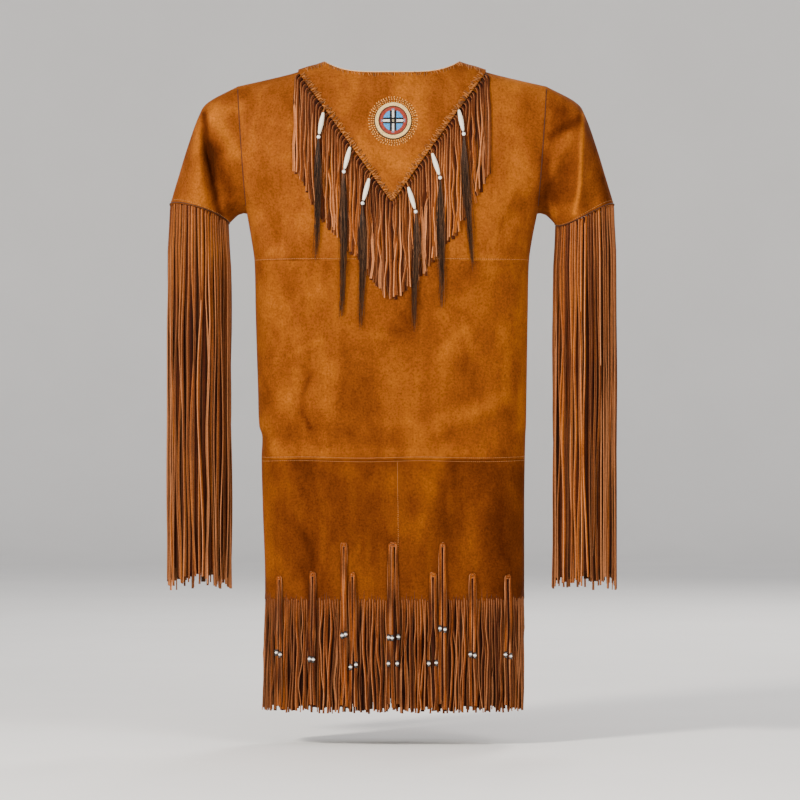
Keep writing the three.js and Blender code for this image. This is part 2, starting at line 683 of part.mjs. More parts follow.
const finish = (color, roughness) => new THREE.MeshStandardMaterial({ color, roughness, metalness: 0 });
const suede = finish(0xb5651d, 0.95);
const fringeSuede = finish(0xa8602c, 0.9);
const ivory = finish(0xeadfc8, 0.35);
const darkHair = finish(0x2a1c14, 0.6);
const beadwork = finish(0xe8dcc0, 0.4);

const dress = new THREE.Group();

function sew(name, geometry, material) {
  const mesh = new THREE.Mesh(geometry, material);
  mesh.name = name;
  dress.add(mesh);
}

for (const side of ["front", "back"]) {
  sew(side + "_bodice", bodice(side), suede);
  sew(side + "_middle", middlePanel(side), suede);
  sew(side + "_skirt_left", skirtPanel(side, -1, 0), suede);
  sew(side + "_skirt_right", skirtPanel(side, 0, 1), suede);
  sew(side + "_hem_fringe_left", hemFringe(side, 0, -1), fringeSuede);
  sew(side + "_hem_fringe_right", hemFringe(side, 0, 1), fringeSuede);
}
for (const hand of ["left", "right"]) {
  sew("sleeve_" + hand, sleeve(hand), suede);
  sew("sleeve_fringe_" + hand, sleeveFringe(hand), fringeSuede);
}
sew("yoke", yoke(), suede);
sew("yoke_fringe", yokeFringe(), fringeSuede);
sew("rosette", rosette(), beadwork);
LACES.forEach((row, index) => sew("lace_" + (index + 1), lace(row), fringeSuede));
DROPS.forEach((row, index) => {
  sew("bone_" + (index + 1), bone(row), ivory);
  sew("bead_" + (index + 1), bead(row), ivory);
  sew("hair_" + (index + 1), hair(row), darkHair);
});

export default dress;
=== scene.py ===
"""Looks for the suede fringe dress, laid out as an add-on and run as a script.

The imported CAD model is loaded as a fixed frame. Each operator makes one piece, or one group of
like pieces, where the CAD has it. Shapes are worked out in millimetres and built in metres.
"""

import math
from collections import namedtuple

import bpy
import numpy as np
from bpy.props import FloatProperty, FloatVectorProperty, IntProperty, PointerProperty
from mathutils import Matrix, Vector


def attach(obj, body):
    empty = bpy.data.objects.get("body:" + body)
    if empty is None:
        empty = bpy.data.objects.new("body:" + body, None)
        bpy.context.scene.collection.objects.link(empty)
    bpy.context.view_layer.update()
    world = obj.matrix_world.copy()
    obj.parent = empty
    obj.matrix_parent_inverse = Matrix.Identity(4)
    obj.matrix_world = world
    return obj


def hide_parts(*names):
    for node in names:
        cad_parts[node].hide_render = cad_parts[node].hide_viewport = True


bl_info = {
    "name": "Suede fringe dress",
    "version": (1, 0, 0),
    "blender": (4, 5, 0),
    "location": "3D View > Sidebar > Fringe dress",
    "description": "Makes the suede, fringe, lacing, beads and hair of a hollow dress round its CAD frame",
    "category": "Mesh",
}

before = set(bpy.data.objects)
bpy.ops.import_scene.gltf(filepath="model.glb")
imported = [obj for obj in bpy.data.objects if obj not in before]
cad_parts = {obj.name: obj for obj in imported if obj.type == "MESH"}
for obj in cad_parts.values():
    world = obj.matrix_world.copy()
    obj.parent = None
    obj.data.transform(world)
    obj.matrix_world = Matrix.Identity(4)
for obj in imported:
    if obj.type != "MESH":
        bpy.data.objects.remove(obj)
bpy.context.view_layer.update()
MM = 0.001


def table(names, *rows):
    """A short table, as one array for each named column."""
    return {name: np.array(column, float) for name, column in zip(names.split(), zip(*rows))}


Lace = namedtuple("Lace", "top_x top_z tails beads")
Drop = namedtuple("Drop", "x z lean hair_z drift")

# The sign of X on each hand and of Y on each side, and two directions
MIRROR = {"left": -1, "right": 1}
OUT = {"front": -1, "back": 1}
UP = (0.0, 0.0, 1.0)
FORWARD = (0.0, -1.0, 0.0)

# Sizes shared with the CAD part, except that sewn pieces here overlap a little at their seams
SUEDE = 1.6
SEAM_GAP = -0.2
LAY_GAP = 0.6
UPPER_SEAM_Z = -321
LOWER_SEAM_Z = -656
HEM_Z = -891
CENTRE_SEAM_X = 7

SECTIONS = table(
    "z left right front back",
    (-238, 248, 248, 104, 96),
    (-284, 240, 239, 107, 94),
    (-321, 235, 234, 106, 91),
    (-411, 233, 232, 102, 90),
    (-542, 229, 230, 98, 94),
    (-600, 227, 229, 97, 96),
    (-617, 222, 228, 97, 96),
    (-656, 223, 227, 97, 96),
    (-738, 221, 226, 97, 97),
    (-869, 217, 226, 98, 98),
    (-1090, 221, 224, 99, 99),
)
SQUARENESS = 2.6
# Half width and depth of a typical section, and about how long a quarter of the line round it is
SECTION_HALF = (230, 98)
SECTION_LENGTH = 290

RIDGE = table("x z", (-60, 37), (0, 46), (60, 37), (116, 20), (163, 4), (215, -9), (264, -20))
ROUNDING_Z = -190
NECK_HALF = 116
NECK_FRONT_Z = -1
NECK_RISE = 21
NECK_POWER = 4

SHOULDER_TIP = (264, -20)
UNDERARM = (248, -238)
ARMHOLE_SHARE = 0.72
ARMHOLE_ROUND = 100

SLEEVE = table(
    "row top_x top_z under_x under_z front back",
    (0, 264, -20, 248, -238, 74, 68),
    (1, 314, -47, 253, -237, 74, 68),
    (2, 331, -72, 257, -238, 72, 67),
    (3, 350, -125, 263, -240, 68, 65),
    (4, 366, -178, 270, -246, 65, 63),
    (5, 380, -225, 279, -255, 62, 61),
)
CUFF_BOW = {"left": 11, "right": -3}
CUFF_WAVE = {"left": 0, "right": 6}

# The CAD's folds on each piece, as x0, z0, x1, z1, width and rise
FOLDS = {
    "front": [
        (-150, -650, -122, -850, 26, -6),
        (-88, -690, -78, -880, 24, 4),
        (66, -650, 54, -820, 22, 5),
        (132, -670, 106, -860, 28, -6),
        (190, -680, 198, -890, 18, 3),
        (60, -612, 206, -560, 15, 4),
        (-130, -480, -152, -570, 11, -4),
        (-236, -218, -180, -290, 13, -4),
        (236, -214, 176, -280, 13, -4),
    ],
    "back": [
        (-120, -640, -140, -870, 26, -6),
        (-34, -680, -44, -880, 24, 5),
        (110, -650, 128, -860, 28, -6),
        (-70, -590, 90, -560, 15, 4),
        (-236, -218, -176, -300, 14, -4),
        (236, -214, 182, -296, 14, -4),
    ],
    "sleeve_front": [
        (-322, -66, -298, -250, 10, -10),
        (-344, -100, -342, -235, 15, 4),
        (-312, -112, -256, -214, 11, 5),
        (326, -64, 316, -262, 11, 8),
        (318, -74, 262, -108, 10, -6),
        (258, -170, 292, -250, 13, -7),
    ],
    "sleeve_back": [
        (-318, -70, -296, -240, 12, -7),
        (320, -72, 298, -244, 12, -7),
    ],
}

YOKE_HALF = 160
YOKE_POINT_Z = -223
YOKE_THICK = 1.4
YOKE_LIFT = 2.9
YOKE_LAY_GAP = 1.4
YOKE_EDGE_BAND = 36
STRAND_SPAN = 64

DROPS = [
    Drop(-115, -71, -0.19, -329, -5),
    Drop(-70, -129, -0.25, -421, -2),
    Drop(-38, -182, -0.26, -443, -2),
    Drop(27, -196, 0.3, -443, -4),
    Drop(67, -139, 0.32, -406, 0),
    Drop(112, -66, 0.2, -341, 16),
]
BONE_LENGTH = 38
BONE_RADIUS = 3.9
BEAD_RADIUS = 3.1
DROP_LIFT = 2.1

ROSETTE_X = 2
ROSETTE_Z = -86
ROSETTE_RADIUS = 30.5

# Finer shapes that the CAD leaves out: soft creases on each piece,
# as a line of points, a width and a rise
CREASES = {
    "front": [
        ([(-112, -442), (-134, -470), (-141, -515), (-128, -572)], 7, -1.5),
        ([(-90, -436), (-128, -452), (-158, -488), (-164, -530)], 9, 1.3),
        ([(-60, -470), (-96, -500), (-116, -540)], 14, 1.4),
        ([(40, -606), (110, -590), (190, -556)], 14, 1.2),
        ([(64, -628), (130, -616), (204, -592)], 9, -1.1),
        ([(126, -500), (150, -520), (146, -560)], 16, -1.8),
        ([(-222, -600), (-186, -622), (-150, -634)], 8, -1.8),
        ([(-214, -560), (-176, -576), (-132, -588)], 12, 1.0),
        ([(-208, -330), (-150, -352), (-96, -356)], 12, -1.0),
        ([(212, -338), (156, -364), (90, -372)], 13, -1.0),
        ([(-40, -700), (-20, -760), (-26, -830)], 15, -1.6),
        ([(28, -664), (40, -740), (26, -800)], 10, 1.2),
        ([(176, -664), (160, -720), (170, -790)], 13, 1.4),
        ([(-196, -668), (-200, -740), (-188, -840)], 13, 1.2),
        ([(-230, -60), (-206, -110), (-204, -176)], 14, -1.5),
        ([(232, -64), (212, -118), (206, -170)], 14, -1.5),
        ([(-214, -190), (-176, -250), (-168, -306)], 10, 1.1),
        ([(214, -190), (182, -246), (172, -300)], 10, 1.0),
    ],
    "back": [
        ([(-150, -60), (-120, -150), (-130, -250)], 16, -1.8),
        ([(140, -56), (118, -140), (126, -260)], 16, -1.8),
        ([(-40, -90), (-20, -180), (-30, -290)], 18, 1.4),
        ([(-200, -360), (-130, -384), (-60, -380)], 12, -1.3),
        ([(206, -350), (140, -380), (70, -392)], 12, -1.3),
        ([(90, -450), (130, -490), (124, -560)], 11, -1.5),
        ([(-100, -440), (-134, -486), (-128, -550)], 11, 1.3),
        ([(30, -680), (44, -760), (36, -850)], 13, -1.6),
        ([(180, -670), (174, -750), (184, -850)], 13, 1.3),
        ([(-190, -670), (-182, -760), (-196, -860)], 13, 1.3),
    ],
    "sleeve_front": [
        ([(-321, -62), (-313, -130), (-302, -190), (-288, -250)], 8, -11.0),
        ([(-304, -130), (-288, -176), (-276, -236)], 17, -11.0),
        ([(-300, -84), (-286, -118), (-264, -146), (-253, -180)], 8, 3.4),
        ([(-331, -70), (-330, -140), (-322, -226)], 9, 4.5),
        ([(-262, -212), (-276, -222), (-290, -222)], 5, 2.4),
        ([(-360, -160), (-356, -196), (-358, -228)], 7, -1.4),
        ([(320, -70), (300, -88), (278, -104), (264, -114)], 7, -3.6),
        ([(276, -46), (296, -56), (312, -62)], 9, -1.8),
        ([(325, -66), (321, -130), (318, -190), (309, -244)], 5.5, 4.0),
        ([(296, -120), (294, -180), (286, -240)], 15, -6.0),
        ([(346, -120), (346, -180), (344, -240)], 13, -4.0),
        ([(304, -116), (282, -146), (268, -176)], 10, 2.2),
        ([(262, -176), (258, -210), (276, -236)], 10, -3.4),
        ([(342, -110), (352, -160), (364, -206)], 10, -2.4),
    ],
    "sleeve_back": [
        ([(-280, -60), (-300, -120), (-290, -190)], 9, -2.0),
        ([(-340, -100), (-344, -160), (-346, -224)], 8, 2.0),
        ([(284, -64), (304, -130), (296, -200)], 9, -2.0),
        ([(344, -110), (346, -170), (350, -226)], 8, 2.0),
    ],
}
SEAM_GROOVE = 1.3
SEAM_GROOVE_WIDTH = 2.6
PUCKER = 0.45
PUCKER_PITCH = 13
PUCKER_REACH = 9

# Where the suede is painted lighter or darker, as a line of points, a width and a change of tone: partly the
# nap brushed up or laid down, partly painted shade in fold valleys and under the arms, and painted highlights
# on fold ridges and along the body's right side
PAINTED_NAP_AND_SHADE = [
    ([(-136, -510), (-152, -548), (-150, -582), (-138, -604)], 5, -0.30),
    ([(-108, -500), (-112, -540), (-106, -572)], 17, 0.22),
    ([(-120, -456), (-148, -466), (-172, -482)], 6, 0.18),
    ([(-168, -500), (-164, -530), (-176, -560)], 7, 0.14),
    ([(-220, -560), (-196, -590), (-170, -612)], 20, -0.16),
    ([(-224, -598), (-204, -620), (-186, -650)], 15, 0.20),
    ([(48, -612), (100, -584), (150, -572), (194, -554)], 17, 0.20),
    ([(84, -484), (106, -446), (120, -438)], 8, 0.14),
    ([(184, -436), (198, -480), (196, -556)], 10, 0.14),
    ([(118, -490), (140, -510), (138, -548)], 24, -0.16),
    ([(-8, -594), (30, -592)], 10, 0.12),
    ([(-150, -646), (-40, -640), (60, -646), (170, -646)], 8, 0.10),
    ([(-192, -306), (-210, -306)], 14, 0.18),
    ([(158, -330), (196, -336)], 16, 0.14),
    ([(-206, -216), (-176, -240), (-150, -262)], 20, 0.12),
    ([(-226, -668), (-222, -760), (-212, -850)], 16, 0.30),
    ([(-146, -664), (-136, -750), (-140, -830), (-130, -890)], 20, -0.24),
    ([(-100, -676), (-70, -672), (-60, -684)], 13, 0.14),
    ([(4, -676), (0, -700)], 10, 0.20),
    ([(80, -662), (66, -712), (54, -756), (34, -778)], 16, 0.28),
    ([(98, -664), (86, -720), (92, -780)], 15, -0.20),
    ([(170, -700), (190, -780), (180, -860)], 34, -0.18),
    ([(-112, -742), (-96, -748)], 14, 0.10),
    ([(-96, -44), (-70, -80), (-40, -150)], 14, 0.10),
    ([(70, -50), (84, -86), (60, -130)], 12, -0.14),
    ([(-14, -170), (16, -186)], 10, -0.12),
    ([(-320, -70), (-312, -130), (-304, -190), (-294, -240)], 6, -0.62),
    ([(-302, -136), (-290, -170), (-280, -206), (-276, -236)], 19, -0.46),
    ([(-330, -80), (-330, -150), (-326, -220)], 9, 0.16),
    ([(-350, -110), (-358, -170), (-366, -216)], 13, -0.10),
    ([(-304, -76), (-280, -110), (-262, -140)], 11, 0.34),
    ([(-300, -62), (-276, -64), (-262, -60)], 13, 0.24),
    ([(318, -78), (296, -92), (268, -110)], 8, -0.40),
    ([(270, -56), (288, -66)], 12, -0.22),
    ([(325, -70), (321, -130), (318, -190), (309, -240)], 4.0, 0.62),
    ([(300, -226), (286, -236), (270, -232)], 12, 0.26),
    ([(250, -150), (256, -196), (262, -226)], 13, -0.30),
    ([(298, -90), (300, -150), (296, -210)], 40, -0.16),
    ([(338, -90), (356, -150), (372, -210)], 14, -0.34),
    ([(302, -130), (290, -170), (284, -200)], 22, -0.10),
    ([(300, -112), (286, -146), (272, -166)], 9, 0.20),
    ([(226, -350), (224, -480), (224, -600)], 12, 0.22),
]

# How low the yoke fringe reaches
YOKE_TIPS = table(
    "x z",
    (-169, -172), (-153, -190), (-136, -233), (-90, -291), (-60, -323), (-42, -349), (-25, -371),
    (-3, -395), (15, -384), (36, -366), (53, -352), (63, -337), (95, -294), (107, -286), (129, -245),
    (150, -205), (169, -176),
)

# Laces: where each is tied, where its tails hang, and its rows of beads
LACES = [
    Lace(-189, -854, [-192.8, -186.4], [(0, -984), (1, -987)]),
    Lace(-133, -846, [-137.8, -129.6], [(0, -993), (1, -994)]),
    Lace(-80, -796, [-84.6, -77.2], [(0, -953), (1, -951)]),
    Lace(-65, -847, [-70.6, -62.6], [(0, -1006), (1, -1002)]),
    Lace(1, -796, [-5.6, 1.6, 9.0], [(0, -956), (1, -957), (2, -955), (0, -1000), (2, -1000)]),
    Lace(67, -847, [64.4, 73.4], [(0, -1000), (1, -999)]),
    Lace(84, -797, [80.8, 89.4], [(0, -941), (1, -943)]),
    Lace(134, -849, [131.4, 139.6], [(0, -985), (1, -987)]),
    Lace(195, -852, [190.8, 198.8], [(0, -987), (1, -990)]),
]
LACE_END_Z = -1076
HEM_TIP_Z = -1081
HEM_LAYERS = (0.2, -0.9, 0.9)
SLEEVE_TIP_Z = -870
CORD_SIDES = 6

SUEDE_PANELS = {
    "front_bodice": "front", "front_middle": "front", "front_skirt_left": "front",
    "front_skirt_right": "front", "back_bodice": "back", "back_middle": "back",
    "back_skirt_left": "back", "back_skirt_right": "back",
}


def length_value(name, description, default):
    return FloatProperty(name=name, description=description, default=default, unit="LENGTH")


def colour_value(name, description, *default):
    return FloatVectorProperty(name=name, description=description, default=default, subtype="COLOR")


def number_value(name, description, default):
    kind = IntProperty if isinstance(default, int) else FloatProperty
    return kind(name=name, description=description, default=default)


class DressCloth(bpy.types.PropertyGroup):
    """Suede panels: grid size and colours."""

    cell: length_value("Grid cell", "Size of a cell of the cloth's mesh", 0.0042)
    light: colour_value("Brushed colour", "Suede with the nap brushed up", 0.330, 0.0975, 0.0080)
    middle: colour_value("Body colour", "Most of the suede", 0.190, 0.0495, 0.0066)
    deep: colour_value("Deep colour", "Suede with the nap laid down", 0.098, 0.0220, 0.0030)
    # Painted light: only the painted strokes reach the next two colours, a painted highlight on fold ridges
    # and painted shade deep in folds
    painted_ridge_highlight: colour_value("Highlight colour", "Suede along a sharp fold", 0.580, 0.1590, 0.0080)
    hollow: colour_value("Hollow colour", "Suede deep in a fold", 0.042, 0.0085, 0.0012)
    # The skirt is darker partly as a darker, redder hide of its own and partly as painted shade
    skirt_shade: number_value("Skirt shade", "How bright the skirt's darker hide is beside the rest", 0.535)


class DressFringe(bpy.types.PropertyGroup):
    """Strips of the fringe."""

    thickness: length_value("Strip thickness", "Thickness of a strip of fringe", 0.0015)
    hem_width: length_value("Hem strip", "Width of a strip at the hem", 0.0050)
    sleeve_width: length_value("Sleeve strip", "Width of a strip at the cuff", 0.0046)
    yoke_width: length_value("Yoke strip", "Width of a strip at the yoke", 0.0046)
    hem_count: number_value("Hem strips", "Strips on one skirt panel", 60)
    sleeve_count: number_value("Sleeve strips", "Strips in a cuff's outer row", 60)
    yoke_count: number_value("Yoke strips", "Strips in the yoke's outer row", 70)
    flesh: colour_value("Flesh side colour", "Paler, pinker back of the hide", 0.43, 0.160, 0.058)


class DressTrim(bpy.types.PropertyGroup):
    """Stitches, lacing, beads, bones and hair."""

    seam_pitch: length_value("Topstitch pitch", "From one stitch of a seam to the next", 0.0036)
    border_pitch: length_value("Border pitch", "From one stitch of the yoke's border to the next", 0.0040)
    seed_bead: length_value("Seed bead", "Width of a bead in the disc", 0.00155)
    hairs: number_value("Hairs in a lock", "Hairs that hang from each drop", 120)
    hair_radius: length_value("Hair radius", "Radius of one hair", 0.00034)
    thread: colour_value("Thread colour", "Topstitching", 0.42, 0.20, 0.060)
    lacing: colour_value("Lacing colour", "Thong of the yoke's border", 0.30, 0.098, 0.014)


class DressStage(bpy.types.PropertyGroup):
    """Floor, lights and camera."""

    camera_distance: length_value("Camera distance", "From the camera to the dress", 7.0)
    millimetres_per_pixel: number_value("Scale", "Millimetres that one pixel of the photograph spans", 1.7)
    view_x: length_value("View centre X", "Sideways place of the view's centre", 0.0136)
    view_z: length_value("View centre Z", "Height of the view's centre", -0.556)
    floor_z: length_value("Floor", "Height of the floor under the dress", -1.142)
    key_power: number_value("Key light", "Power of the key light at the upper left", 325.0)
    fill_power: number_value("Fill light", "Power of the soft light at the right", 125.0)
    back_power: number_value("Back light", "Power of the soft light behind the dress", 150.0)


# Shape of the dress
def lerp(a, b, t):
    return a + (b - a) * t


def smoothstep(value, low, high):
    t = np.clip((value - low) / (high - low), 0, 1)
    return t * t * (3 - 2 * t)


def along(rows, key, value, at):
    """A smooth curve through two columns of a table."""
    keys, values = rows[key], rows[value]
    if keys[-1] < keys[0]:
        keys, values = keys[::-1], values[::-1]
    at = np.clip(at, keys[0], keys[-1])
    right = np.clip(np.searchsorted(keys, at), 1, len(keys) - 1)
    left = right - 1
    span = keys[right] - keys[left]
    rise = values[right] - values[left]
    t = (at - keys[left]) / span

    def slope(k):
        after, before = np.minimum(k + 1, len(keys) - 1), np.maximum(k - 1, 0)
        return (values[after] - values[before]) / (keys[after] - keys[before]) * span

    bend = t * (1 - t) * ((slope(left) - rise) * (1 - t) - (slope(right) - rise) * t)
    return values[left] + rise * t + bend


def fold_lift(on, x, z):
    """How far the CAD's folds lift the cloth."""
    lift = np.zeros(np.broadcast(x, z).shape)
    for x0, z0, x1, z1, width, rise in FOLDS[on]:
        run_x, run_z = x1 - x0, z1 - z0
        length = math.hypot(run_x, run_z)
        t = ((x - x0) * run_x + (z - z0) * run_z) / length**2
        away = ((x - x0) * run_z - (z - z0) * run_x) / length
        fade = smoothstep(t, -0.15, 0.25) * (1 - smoothstep(t, 0.75, 1.15))
        lift = lift + rise * fade * np.exp(-((away / width) ** 2))
    return lift


def nearest_on(path, x, z):
    """How far a place is from a line of points, and the share of the line before its nearest point."""
    nearest = np.full(np.broadcast(x, z).shape, 1e9)
    share = np.zeros(nearest.shape)
    for i, (start, end) in enumerate(zip(path, path[1:])):
        run_x, run_z = end[0] - start[0], end[1] - start[1]
        t = ((x - start[0]) * run_x + (z - start[1]) * run_z) / (run_x**2 + run_z**2)
        t = np.clip(t, 0, 1)
        away = np.hypot(x - start[0] - t * run_x, z - start[1] - t * run_z)
        share = np.where(away < nearest, (i + t) / (len(path) - 1), share)
        nearest = np.minimum(away, nearest)
    return nearest, share


def crease_lift(on, x, z):
    """How far the finer creases lift the cloth, with their ends faded out."""
    lift = np.zeros(np.broadcast(x, z).shape)
    for path, width, rise in CREASES[on]:
        nearest, share = nearest_on(path, x, z)
        fade = smoothstep(share, 0, 0.3) * (1 - smoothstep(share, 0.7, 1))
        lift = lift + rise * (0.25 + 0.75 * fade) * np.exp(-((nearest / width) ** 2))
    return lift


def brushed(x, z):
    """How much lighter or darker the suede is painted at a place, on the front and the back alike: nap tone,
    with painted shade and highlights along folds.
    """
    tone = np.zeros(np.broadcast(x, z).shape)
    for path, width, change in PAINTED_NAP_AND_SHADE:
        tone = tone + change * np.exp(-((nearest_on(path, x, z)[0] / width) ** 2))
    return tone


def settle(x, z, phase=0.0):
    """The slight unevenness of a hide that has hung for a while."""
    broad = 0.55 * np.sin(x / 37 + z / 61 + 1.3 + phase) + 0.45 * np.sin(x / 23 - z / 47 + phase)
    return broad + 0.25 * np.sin(z / 19 + x / 71 + 2 * phase)


def groove(distance):
    """How far the cloth dips where two pieces are sewn together."""
    return -SEAM_GROOVE * np.exp(-((distance / SEAM_GROOVE_WIDTH) ** 2))


def pucker(distance, place):
    """The ripples that a seam's thread draws up in the cloth beside it."""
    ripple = np.sin(2 * math.pi * place / PUCKER_PITCH + 0.8 * np.sin(place / 29))
    return PUCKER * ripple * np.exp(-((distance / PUCKER_REACH) ** 2))


def ridge_z(x):
    return along(RIDGE, "x", "z", np.abs(x))


def neck_z(x):
    return NECK_FRONT_Z + NECK_RISE * (np.abs(x) / NECK_HALF) ** NECK_POWER


def top_z(x, drop=0.0):
    """The upper edge: the neckline, and beside it the shoulder line, which may be taken lower."""
    return np.where(np.abs(x) < NECK_HALF, np.minimum(neck_z(x), ridge_z(x)), ridge_z(x) - drop)


def half_width(x, z):
    """Half width of the body at a height: the side seam, or above the underarm the armhole."""
    below = np.where(np.asarray(x) < 0, along(SECTIONS, "z", "left", z), along(SECTIONS, "z", "right", z))
    t = (z - UNDERARM[1]) / (SHOULDER_TIP[1] - UNDERARM[1])
    return np.where(np.asarray(z) <= UNDERARM[1], below, lerp(UNDERARM[0], SHOULDER_TIP[0], t))


def armhole_share(z):
    t = np.clip((z - UNDERARM[1]) / ARMHOLE_ROUND, 0, 1)
    return ARMHOLE_SHARE * np.sqrt(1 - (1 - t) ** 2)


def rounding(x, z):
    """How much of the full depth is left as the cloth leans to the shoulder line."""
    rise = np.clip((z - ROUNDING_Z) / (ridge_z(x) - ROUNDING_Z), 0, 1)
    return np.sqrt(1 - rise**2)


def seam_relief(side, x, z):
    """The dips and ripples along a side's seams."""
    phase = 0 if side == "front" else 5
    edge = half_width(x, z) - np.abs(x)
    relief = groove(z - UPPER_SEAM_Z) + 0.5 * pucker(z - UPPER_SEAM_Z, x + phase)
    relief = relief + groove(z - LOWER_SEAM_Z) + pucker(z - LOWER_SEAM_Z, x + 2 * phase)
    upright = 0.7 * groove(x - CENTRE_SEAM_X) + 0.5 * pucker(x - CENTRE_SEAM_X, z + phase)
    relief = relief + np.where(z < LOWER_SEAM_Z, upright, 0)
    return relief + np.where(z > UNDERARM[1], groove(edge) + pucker(edge, z + phase), 0)


def body_depth(side, x, z):
    """How far the front or the back stands from the middle plane."""
    x, z = np.asarray(x, float), np.asarray(z, float)
    reach = along(SECTIONS, "z", side, z)
    opened = armhole_share(z) ** SQUARENESS
    out = np.minimum(1, np.abs(x) / half_width(x, z)) ** SQUARENESS
    across = np.maximum(0, 1 - (1 - opened) * out) ** (1 / SQUARENESS)
    shape = across * rounding(x, z)
    lift = fold_lift(side, x, z) + crease_lift(side, x, z) + seam_relief(side, x, z)
    lift = lift + settle(x, z, 0.0 if side == "front" else 2.1)
    return reach * shape + lift * np.minimum(1, shape * 1.5)


def outward(side, x, z):
    """Unit normals of the body's surface, from how its section and its depth change."""
    out = OUT[side]
    z = np.minimum(z, ridge_z(x) - 4)
    half, reach = half_width(x, z), along(SECTIONS, "z", side, z)
    opened = armhole_share(z) ** SQUARENESS
    share = np.minimum(1, np.abs(x) / half)
    across = np.maximum(1e-4, 1 - (1 - opened) * share**SQUARENESS) ** (1 / SQUARENESS)
    lean = np.maximum(0.05, rounding(x, z))
    side_pull = (1 - opened) * np.sign(x) * share ** (SQUARENESS - 1) / half
    front_pull = across ** (SQUARENESS - 1) / (reach * lean)
    rise = np.clip((z - ROUNDING_Z) / (ridge_z(x) - ROUNDING_Z), 0, 0.999)
    up_pull = across**SQUARENESS * rise / (lean**2 * (ridge_z(x) - ROUNDING_Z))
    normal = np.stack(np.broadcast_arrays(side_pull, out * front_pull, up_pull), axis=-1)
    return normal / np.linalg.norm(normal, axis=-1, keepdims=True)


def on_body(side, x, z, lift=0.0):
    """Points of the body moved out by lift along its normals."""
    out = OUT[side]
    x, z, lift = np.broadcast_arrays(np.asarray(x, float), np.asarray(z, float), np.asarray(lift, float))
    flat = np.stack([x, out * (body_depth(side, x, z) + SEAM_GAP / 2), z], axis=-1)
    return flat + outward(side, x, z) * lift[..., None]


def bulge(x, z, span):
    """How far the chest bulges past a straight line between heights that are span apart."""

    def depth(height):
        return body_depth("front", x, np.minimum(height, ridge_z(x) - 1))

    def past(start, end):
        return depth((start + end) / 2) - (depth(start) + depth(end)) / 2

    return 1.15 * np.maximum(0, np.maximum(past(z, z + span), past(z, z - span)))


def yoke_edge_z(x):
    return lerp(YOKE_POINT_Z, 0, np.abs(x) / YOKE_HALF)


def yoke_lift(x, z):
    from_edge = (z - yoke_edge_z(x)) * 0.59
    return lerp(YOKE_LIFT, YOKE_LAY_GAP, smoothstep(from_edge, YOKE_EDGE_BAND * 0.5, YOKE_EDGE_BAND))


def on_yoke(x, z, extra=0.0):
    return on_body("front", x, z, yoke_lift(x, z) + extra)


def on_sleeve(hand, s, turn, inset=0.0):
    """Points of a sleeve: s from the armhole to the cuff, turn round it from the outer edge."""
    mirror = MIRROR[hand]
    s, turn = np.broadcast_arrays(np.asarray(s, float), np.asarray(turn, float))
    last = SLEEVE["row"][-1]
    top_x, top_z = along(SLEEVE, "row", "top_x", s * last), along(SLEEVE, "row", "top_z", s * last)
    under_x, under_z = along(SLEEVE, "row", "under_x", s * last), along(SLEEVE, "row", "under_z", s * last)
    c, q = np.cos(turn), np.sin(turn)
    front = q >= 0
    out = np.where(front, -1.0, 1.0)
    axis_x, axis_z = (top_x - under_x) / 2, (top_z - under_z) / 2
    x, z = (top_x + under_x) / 2 + axis_x * c, (top_z + under_z) / 2 + axis_z * c
    own = np.where(front, along(SLEEVE, "row", "front", s * last), along(SLEEVE, "row", "back", s * last))
    armhole_z = lerp(UNDERARM[1], SHOULDER_TIP[1], (c + 1) / 2)
    armhole_x = mirror * half_width(mirror, armhole_z)
    edge = np.where(
        front, body_depth("front", armhole_x, armhole_z), body_depth("back", armhole_x, armhole_z)
    )
    joined = smoothstep(s, 0, 0.3)
    mask = joined * np.minimum(1, np.abs(q) * 1.6)
    lifts = []
    for on in ("sleeve_front", "sleeve_back"):
        lifts.append(fold_lift(on, mirror * x, z) + crease_lift(on, mirror * x, z))
    lift = np.where(front, lifts[0], lifts[1]) + settle(mirror * x * 1.3, z * 1.3, 1.1)
    depth = lerp(edge, own * np.abs(q), joined) + SEAM_GAP / 2
    radius = np.hypot(axis_x, axis_z)
    normal = np.stack([axis_x * c * own / radius, out * np.abs(q) * radius, axis_z * c * own / radius], -1)
    normal /= np.linalg.norm(normal, axis=-1, keepdims=True)
    point = np.stack([x, out * (depth + lift * mask), z], -1) - normal * np.asarray(inset)[..., None]
    bow = CUFF_BOW[hand] * np.maximum(0, q) + CUFF_WAVE[hand] * np.maximum(0, q) * c * 2
    point[..., 2] += bow * smoothstep(s, 0.5, 1)
    point[..., 0] = mirror * (point[..., 0] + SEAM_GAP)
    return point


def run_lengths(points):
    """How far along a line of points each of them is."""
    return np.concatenate([[0], np.cumsum(np.linalg.norm(np.diff(points, axis=0), axis=-1))])


def section_line():
    """Shares of the half width, from 0 to 1, and how far round the section each of them is."""
    share = np.sin(np.linspace(0, math.pi / 2, 900)) ** (2 / SQUARENESS)
    depth = np.maximum(0, 1 - share**SQUARENESS) ** (1 / SQUARENESS)
    return share, run_lengths(np.stack([share, depth], -1) * SECTION_HALF)


def even_shares(cell):
    """Shares of the half width, from 0 to 1, an even distance apart round the section."""
    share, length = section_line()
    return np.interp(spaced(length[-1], cell) * length[-1], length, share)


def share_round(place):
    """The share of the half width at a place from -1 to 1, measured round the section."""
    share, length = section_line()
    return np.sign(place) * np.interp(np.abs(place) * length[-1], length, share)


def spaced(length, cell):
    """Numbers from 0 to 1 that are a cell apart, with finer steps at both ends for the seams."""
    fine = np.array([0, 0.9, 2.0, 3.4, 5.4]) / length
    middle = np.linspace(fine[-1], 1 - fine[-1], max(2, round(length / cell)))
    return np.concatenate([fine[:-1], middle, 1 - fine[-2::-1]])


# Meshes
def link(name, mesh):
    obj = bpy.data.objects.new(name, mesh)
    bpy.context.scene.collection.objects.link(obj)
    return obj


